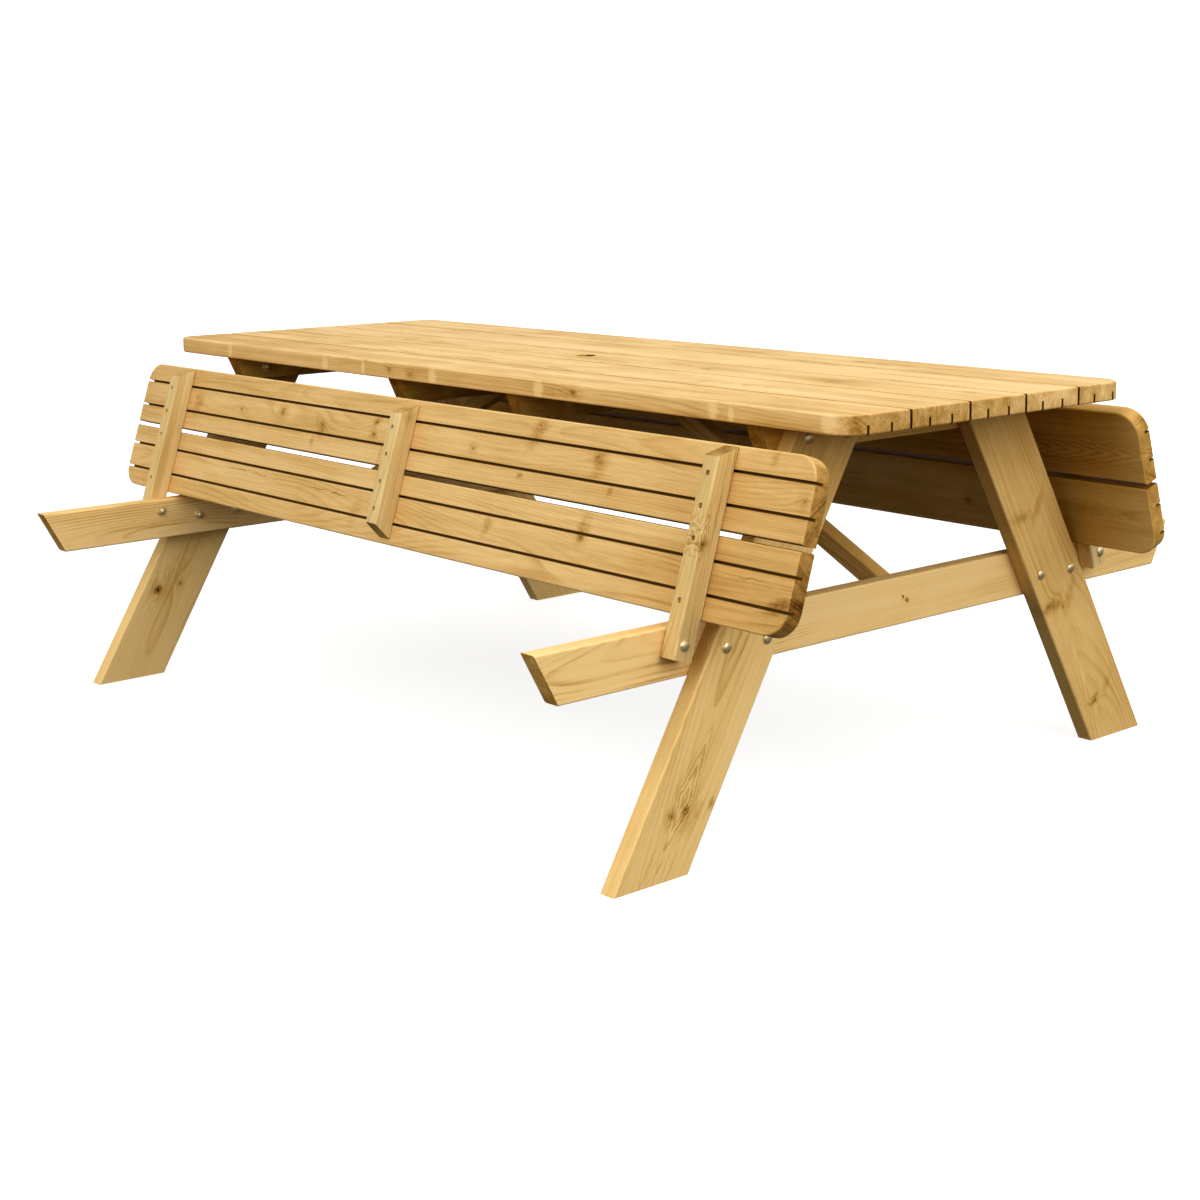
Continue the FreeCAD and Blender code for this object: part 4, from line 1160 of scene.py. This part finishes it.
def fit(context, node, works, sizes, shift):
    """Puts one kind of fixing at every place of a CAD node and makes the result a plain mesh."""
    found = fixings_of(node)
    if not found:
        raise RuntimeError(f"{node} holds no fixings")
    places = [Vector(fixing.middle) + Vector(fixing.facing) * shift(fixing) for fixing in found]
    points = bpy.data.meshes.new(f"{node}_places")
    points.from_pydata(places, [], [])
    facing = points.attributes.new("facing", "FLOAT_VECTOR", "POINT")
    facing.data.foreach_set("vector", [part for fixing in found for part in fixing.facing])
    piece = bpy.data.objects.new(f"{node}_fitted", points)
    context.scene.collection.objects.link(piece)
    modifier = piece.modifiers.new("works", "NODES")
    modifier.node_group = works
    for item in works.interface.items_tree:
        if item.in_out == "INPUT" and item.name in sizes:
            modifier[item.identifier] = sizes[item.name]
    evaluated = piece.evaluated_get(context.evaluated_depsgraph_get())
    mesh = bpy.data.meshes.new_from_object(evaluated)
    piece.modifiers.remove(modifier)
    if not mesh.polygons:
        raise RuntimeError(f"{node} came out empty")
    shell = bmesh.new()
    shell.from_mesh(mesh)
    bmesh.ops.remove_doubles(shell, verts=shell.verts, dist=SAME_PLACE)
    bmesh.ops.recalc_face_normals(shell, faces=shell.faces)
    shell.to_mesh(mesh)
    shell.free()
    mesh.name = piece.name
    piece.data = mesh
    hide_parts(node)
    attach(piece, body_of(NODES[node])[0])


# How rough a metal is, and how bright its stains are beside the rest of it.
Metal = namedtuple("Metal", "roughness stain")

BOLT_METAL = Metal(0.28, 0.62)
NUT_METAL = Metal(0.36, 0.5)
SCREW_METAL = Metal(0.45, 0.4)

# The clouds and specks that stain a metal, and how much of each.
CLOUDS = Pattern((160, 160, 160), 3.0)
CLOUD_OFFSET = (3.1, 7.7, 1.9)
CLOUD_ENDS = (0.35, 0.7)
CLOUD_WEAR = 0.6
SPECKS = Pattern((900, 900, 900), 2.0)
SPECK_OFFSET = (9.1, 2.7, 5.3)
SPECK_WEAR = 0.2
SPECK_HEIGHT = 0.0001
WEAR_ROUGHNESS = 0.25
METAL_BUMP = 0.3
METAL_SHARE = 0.75


def metal(name, colour, kind):
    """Plated steel, a little uneven, with stains."""
    material, shader, source = new_material(name)
    place = Value(source["Object"])
    cloud = place.pattern(CLOUDS, CLOUD_OFFSET)
    speck = place.pattern(SPECKS, SPECK_OFFSET)
    worn = cloud.step(*CLOUD_ENDS) * CLOUD_WEAR + speck * SPECK_WEAR
    dark = tuple(part * kind.stain for part in colour)
    worn.mix((*colour, 1), (*dark, 1)).feed(shader, "Base Color")
    (worn * WEAR_ROUGHNESS + kind.roughness).feed(shader, "Roughness")
    speck.bump(METAL_BUMP, SPECK_HEIGHT).feed(shader, "Normal")
    shader.inputs["Metallic"].default_value = METAL_SHARE
    return material


def nodes_ending(word):
    """The CAD nodes whose names end in a word."""
    return [node for node in sorted(NODES) if node.endswith(word)]


class PICNIC_OT_bolts(bpy.types.Operator):
    """Fits the domed carriage bolts"""

    bl_idname = "picnic.bolts"
    bl_label = "Carriage bolts"

    def execute(self, context):
        look = context.scene.picnic_fixings
        works = bolt_works(metal("bolt_plating", look.plating, BOLT_METAL))
        for node in nodes_ending("bolts"):
            bolt = fixings_of(node)[0]
            sizes = {"Head radius": BOLT_HEAD, "Head height": HEAD_HEIGHT, "Head rim": look.head_rim,
                     "Neck": NECK, "Shank radius": SHANK, "Length": bolt.length - HEAD_HEIGHT,
                     "Thread pitch": look.thread_pitch, "Thread depth": look.thread_depth}
            fit(context, node, works, sizes, lambda fixing: fixing.length / 2 - HEAD_HEIGHT)
        return {"FINISHED"}


class PICNIC_OT_nuts(bpy.types.Operator):
    """Fits the nuts and washers on the bolts"""

    bl_idname = "picnic.nuts"
    bl_label = "Nuts and washers"

    def execute(self, context):
        look = context.scene.picnic_fixings
        plating = metal("nut_plating", look.plating, NUT_METAL)
        nut, washer = nut_works(plating), washer_works(plating)
        bore = SHANK + BORE_GAP
        for node in nodes_ending("nuts"):
            sizes = {"Width": NUT_WIDTH, "Height": NUT_HEIGHT, "Bore radius": bore}
            fit(context, node, nut, sizes, lambda fixing: 0)
        for node in nodes_ending("washers"):
            sizes = {"Radius": WASHER, "Thickness": WASHER_THICKNESS, "Bore radius": bore}
            fit(context, node, washer, sizes, lambda fixing: 0)
        return {"FINISHED"}


class PICNIC_OT_screws(bpy.types.Operator):
    """Fits the countersunk wood screws"""

    bl_idname = "picnic.screws"
    bl_label = "Wood screws"

    def execute(self, context):
        look = context.scene.picnic_fixings
        works = screw_works(metal("screw_metal", look.screw_metal, SCREW_METAL))
        for node in nodes_ending("screws"):
            longest = max(fixing.length for fixing in fixings_of(node))
            sizes = {"Head radius": SCREW_HEAD, "Head height": SCREW_HEAD_HEIGHT,
                     "Shank radius": SCREW_SHANK, "Length": longest - SCREW_SPARE,
                     "Drive radius": DRIVE, "Drive depth": DRIVE_DEPTH}
            fit(context, node, works, sizes, lambda fixing: fixing.length / 2)
        return {"FINISHED"}


class StudioSettings(bpy.types.PropertyGroup):
    """The floor, the light and the camera."""

    floor_colour: colour_setting("Floor", "Colour of the plain floor", (0.50, 0.50, 0.50))
    floor_glow: strength_setting(
        "Floor glow", "Light that the floor gives off by itself, which keeps its shadows pale", 0.74)
    sky_light: strength_setting(
        "Light from above", "Strength of the even light from above the horizon", 0.83)
    horizon_light: strength_setting(
        "Light from the horizon", "Strength of the even light near the horizon", 0.78)
    ground_light: strength_setting(
        "Light from below", "Strength of the even light from below the horizon", 0.01)
    side_light: power_setting("Side lamp", "Power of the large soft lamp beyond the table's end", 82)
    front_light: power_setting("Front lamp", "Power of the large soft lamp in front of the table", 78)
    lens: FloatProperty(
        name="Lens",
        description="Focal length of the camera",
        subtype="DISTANCE_CAMERA",
        unit="CAMERA",
        min=1,
        default=58.328,
    )


# The floor, in metres: a flat disc that bends up into a wall, and where its shadows fade to white.
FLOOR_SIDES = 96
FLOOR_REACH = 9
FLOOR_BEND = 3
FLOOR_WALL = 9
BEND_STEPS = 12
FLOOR_SINK = 0.0003
FADE_ENDS = (2.2, 4.5)
FLOOR_ROUGHNESS = 0.95

# The camera, in metres and degrees.
CAMERA_PLACE = (3.10232, -2.62622, 1.13398)
CAMERA_YAW = 49.1248
CAMERA_PITCH = -8.8135
CAMERA_ROLL = -0.5505
CAMERA_SHIFT = (-0.0067, -0.10723)

# The lamps, and the light of the sky and the ground by the height of its direction.
SIDE_PLACE = Vector((4.8, 0, 2.4))
FRONT_PLACE = Vector((1.1, -4.1, 2.9))
LAMP_AIM = Vector((0, 0, 0.45))
LAMP_SIZE = 3.1
HORIZON_ENDS = (-0.06, 0.06)
SKY_ENDS = (0.1, 0.65)
WARM_GROUND = (1.0, 0.52, 0.12, 1.0)
WARM_HORIZON = (1.0, 0.96, 0.78, 1.0)
WHITE = (1.0, 1.0, 1.0, 1.0)


def rotation(degrees, axis):
    """A turn by so many degrees about an axis."""
    return Matrix.Rotation(math.radians(degrees), AXES, axis)


class PICNIC_OT_studio(bpy.types.Operator):
    """Sets the floor, the light and the camera"""

    bl_idname = "picnic.studio"
    bl_label = "Studio"

    def execute(self, context):
        look = context.scene.picnic_studio
        self.lay_floor(context, look)
        self.light(context, look)
        self.place_camera(context, look)
        return {"FINISHED"}

    def lay_floor(self, context, look):
        """A plain pale floor that curves up into a wall all round."""
        profile = [(FLOOR_REACH, 0.0)]
        for step in range(1, BEND_STEPS + 1):
            angle = math.radians(RIGHT_ANGLE) * step / BEND_STEPS
            profile.append((FLOOR_REACH + FLOOR_BEND * math.sin(angle), FLOOR_BEND * (1 - math.cos(angle))))
        profile.append((FLOOR_REACH + FLOOR_BEND, FLOOR_BEND + FLOOR_WALL))
        angles = [math.tau * side / FLOOR_SIDES for side in range(FLOOR_SIDES)]
        circle = [(math.cos(angle), math.sin(angle)) for angle in angles]
        sweep = bmesh.new()
        rings = []
        for radius, height in profile:
            ring = [(radius * x, radius * y, height - FLOOR_SINK) for x, y in circle]
            rings.append([sweep.verts.new(place) for place in ring])
        sweep.faces.new(rings[0])
        for low, high in zip(rings, rings[1:]):
            for side in range(FLOOR_SIDES):
                after = (side + 1) % FLOOR_SIDES
                sweep.faces.new((low[side], low[after], high[after], high[side]))
        bmesh.ops.recalc_face_normals(sweep, faces=sweep.faces)
        bmesh.ops.reverse_faces(sweep, faces=[face for face in sweep.faces if face.normal.z < 0])
        mesh = bpy.data.meshes.new("studio_floor")
        sweep.to_mesh(mesh)
        sweep.free()
        mesh.materials.append(self.floor_finish(look))
        floor = bpy.data.objects.new("studio_floor", mesh)
        context.scene.collection.objects.link(floor)
        floor.visible_diffuse = False
        floor.visible_glossy = False
        floor.visible_shadow = False

    def floor_finish(self, look):
        """Pale and matt, and white some way off from the table."""
        material, shader, source = new_material("pale_floor")
        shader.inputs["Base Color"].default_value = (*look.floor_colour, 1)
        shader.inputs["Roughness"].default_value = FLOOR_ROUGHNESS
        shader.inputs["Specular IOR Level"].default_value = 0.0
        shader.inputs["Emission Strength"].default_value = 1.0
        far = Value(source["Object"]).length().step(*FADE_ENDS)
        (far * (1 - look.floor_glow) + look.floor_glow).feed(shader, "Emission Color")
        return material

    def light(self, context, look):
        """Even light from above, a little warm light from below, and two large lamps."""
        world = bpy.data.worlds.new("studio_light")
        context.scene.world = world
        world.use_nodes = True
        nodes = world.node_tree.nodes
        background = nodes["Background"]
        height = Value(nodes.new("ShaderNodeTexCoord").outputs["Generated"]).parts()[UPWARDS]
        above = height.step(*HORIZON_ENDS)
        high = height.step(*SKY_ENDS)
        strength = (above * (look.horizon_light - look.ground_light) + look.ground_light
                    + high * (look.sky_light - look.horizon_light))
        strength.feed(background, "Strength")
        high.mix(above.mix(WARM_GROUND, WARM_HORIZON), WHITE).feed(background, "Color")
        self.hang_lamp(context, "side_lamp", SIDE_PLACE, look.side_light)
        self.hang_lamp(context, "front_lamp", FRONT_PLACE, look.front_light)

    def hang_lamp(self, context, name, place, power):
        """A large soft lamp, turned towards the table."""
        lamp = bpy.data.lights.new(name, "AREA")
        lamp.energy = power
        lamp.size = LAMP_SIZE
        hung = bpy.data.objects.new(name, lamp)
        hung.location = place
        hung.rotation_euler = (LAMP_AIM - place).to_track_quat("-Z", "Y").to_euler()
        context.scene.collection.objects.link(hung)

    def place_camera(self, context, look):
        """The camera at the photograph's viewing angle."""
        data = bpy.data.cameras.new("camera")
        data.lens = look.lens
        data.shift_x, data.shift_y = CAMERA_SHIFT
        camera = bpy.data.objects.new("camera", data)
        turn = (rotation(CAMERA_YAW, "Z") @ rotation(RIGHT_ANGLE + CAMERA_PITCH, "X")
                @ rotation(CAMERA_ROLL, "Z"))
        camera.matrix_world = Matrix.Translation(CAMERA_PLACE) @ turn.to_4x4()
        context.scene.collection.objects.link(camera)
        context.scene.camera = camera
        context.scene.view_settings.view_transform = "Standard"


CLASSES = [TimberSettings, FixingSettings, StudioSettings, PICNIC_OT_tabletop, PICNIC_OT_frame,
           PICNIC_OT_seats, PICNIC_OT_bolts, PICNIC_OT_nuts, PICNIC_OT_screws, PICNIC_OT_studio]
OPERATORS = ["tabletop", "frame", "seats", "bolts", "nuts", "screws", "studio"]


class PICNIC_PT_panel(bpy.types.Panel):
    """Lists the pieces of the picnic table"""

    bl_idname = "PICNIC_PT_panel"
    bl_label = "Picnic table"
    bl_space_type = "VIEW_3D"
    bl_region_type = "UI"
    bl_category = "Picnic table"

    def draw(self, context):
        for name in OPERATORS:
            self.layout.operator(f"picnic.{name}")


def register():
    for made in (*CLASSES, PICNIC_PT_panel):
        bpy.utils.register_class(made)
    bpy.types.Scene.picnic_timber = PointerProperty(type=TimberSettings)
    bpy.types.Scene.picnic_fixings = PointerProperty(type=FixingSettings)
    bpy.types.Scene.picnic_studio = PointerProperty(type=StudioSettings)


def unregister():
    del bpy.types.Scene.picnic_timber
    del bpy.types.Scene.picnic_fixings
    del bpy.types.Scene.picnic_studio
    for made in reversed((*CLASSES, PICNIC_PT_panel)):
        bpy.utils.unregister_class(made)


def main():
    register()
    for name in OPERATORS:
        getattr(bpy.ops.picnic, name)()


if __name__ == "__main__":
    main()
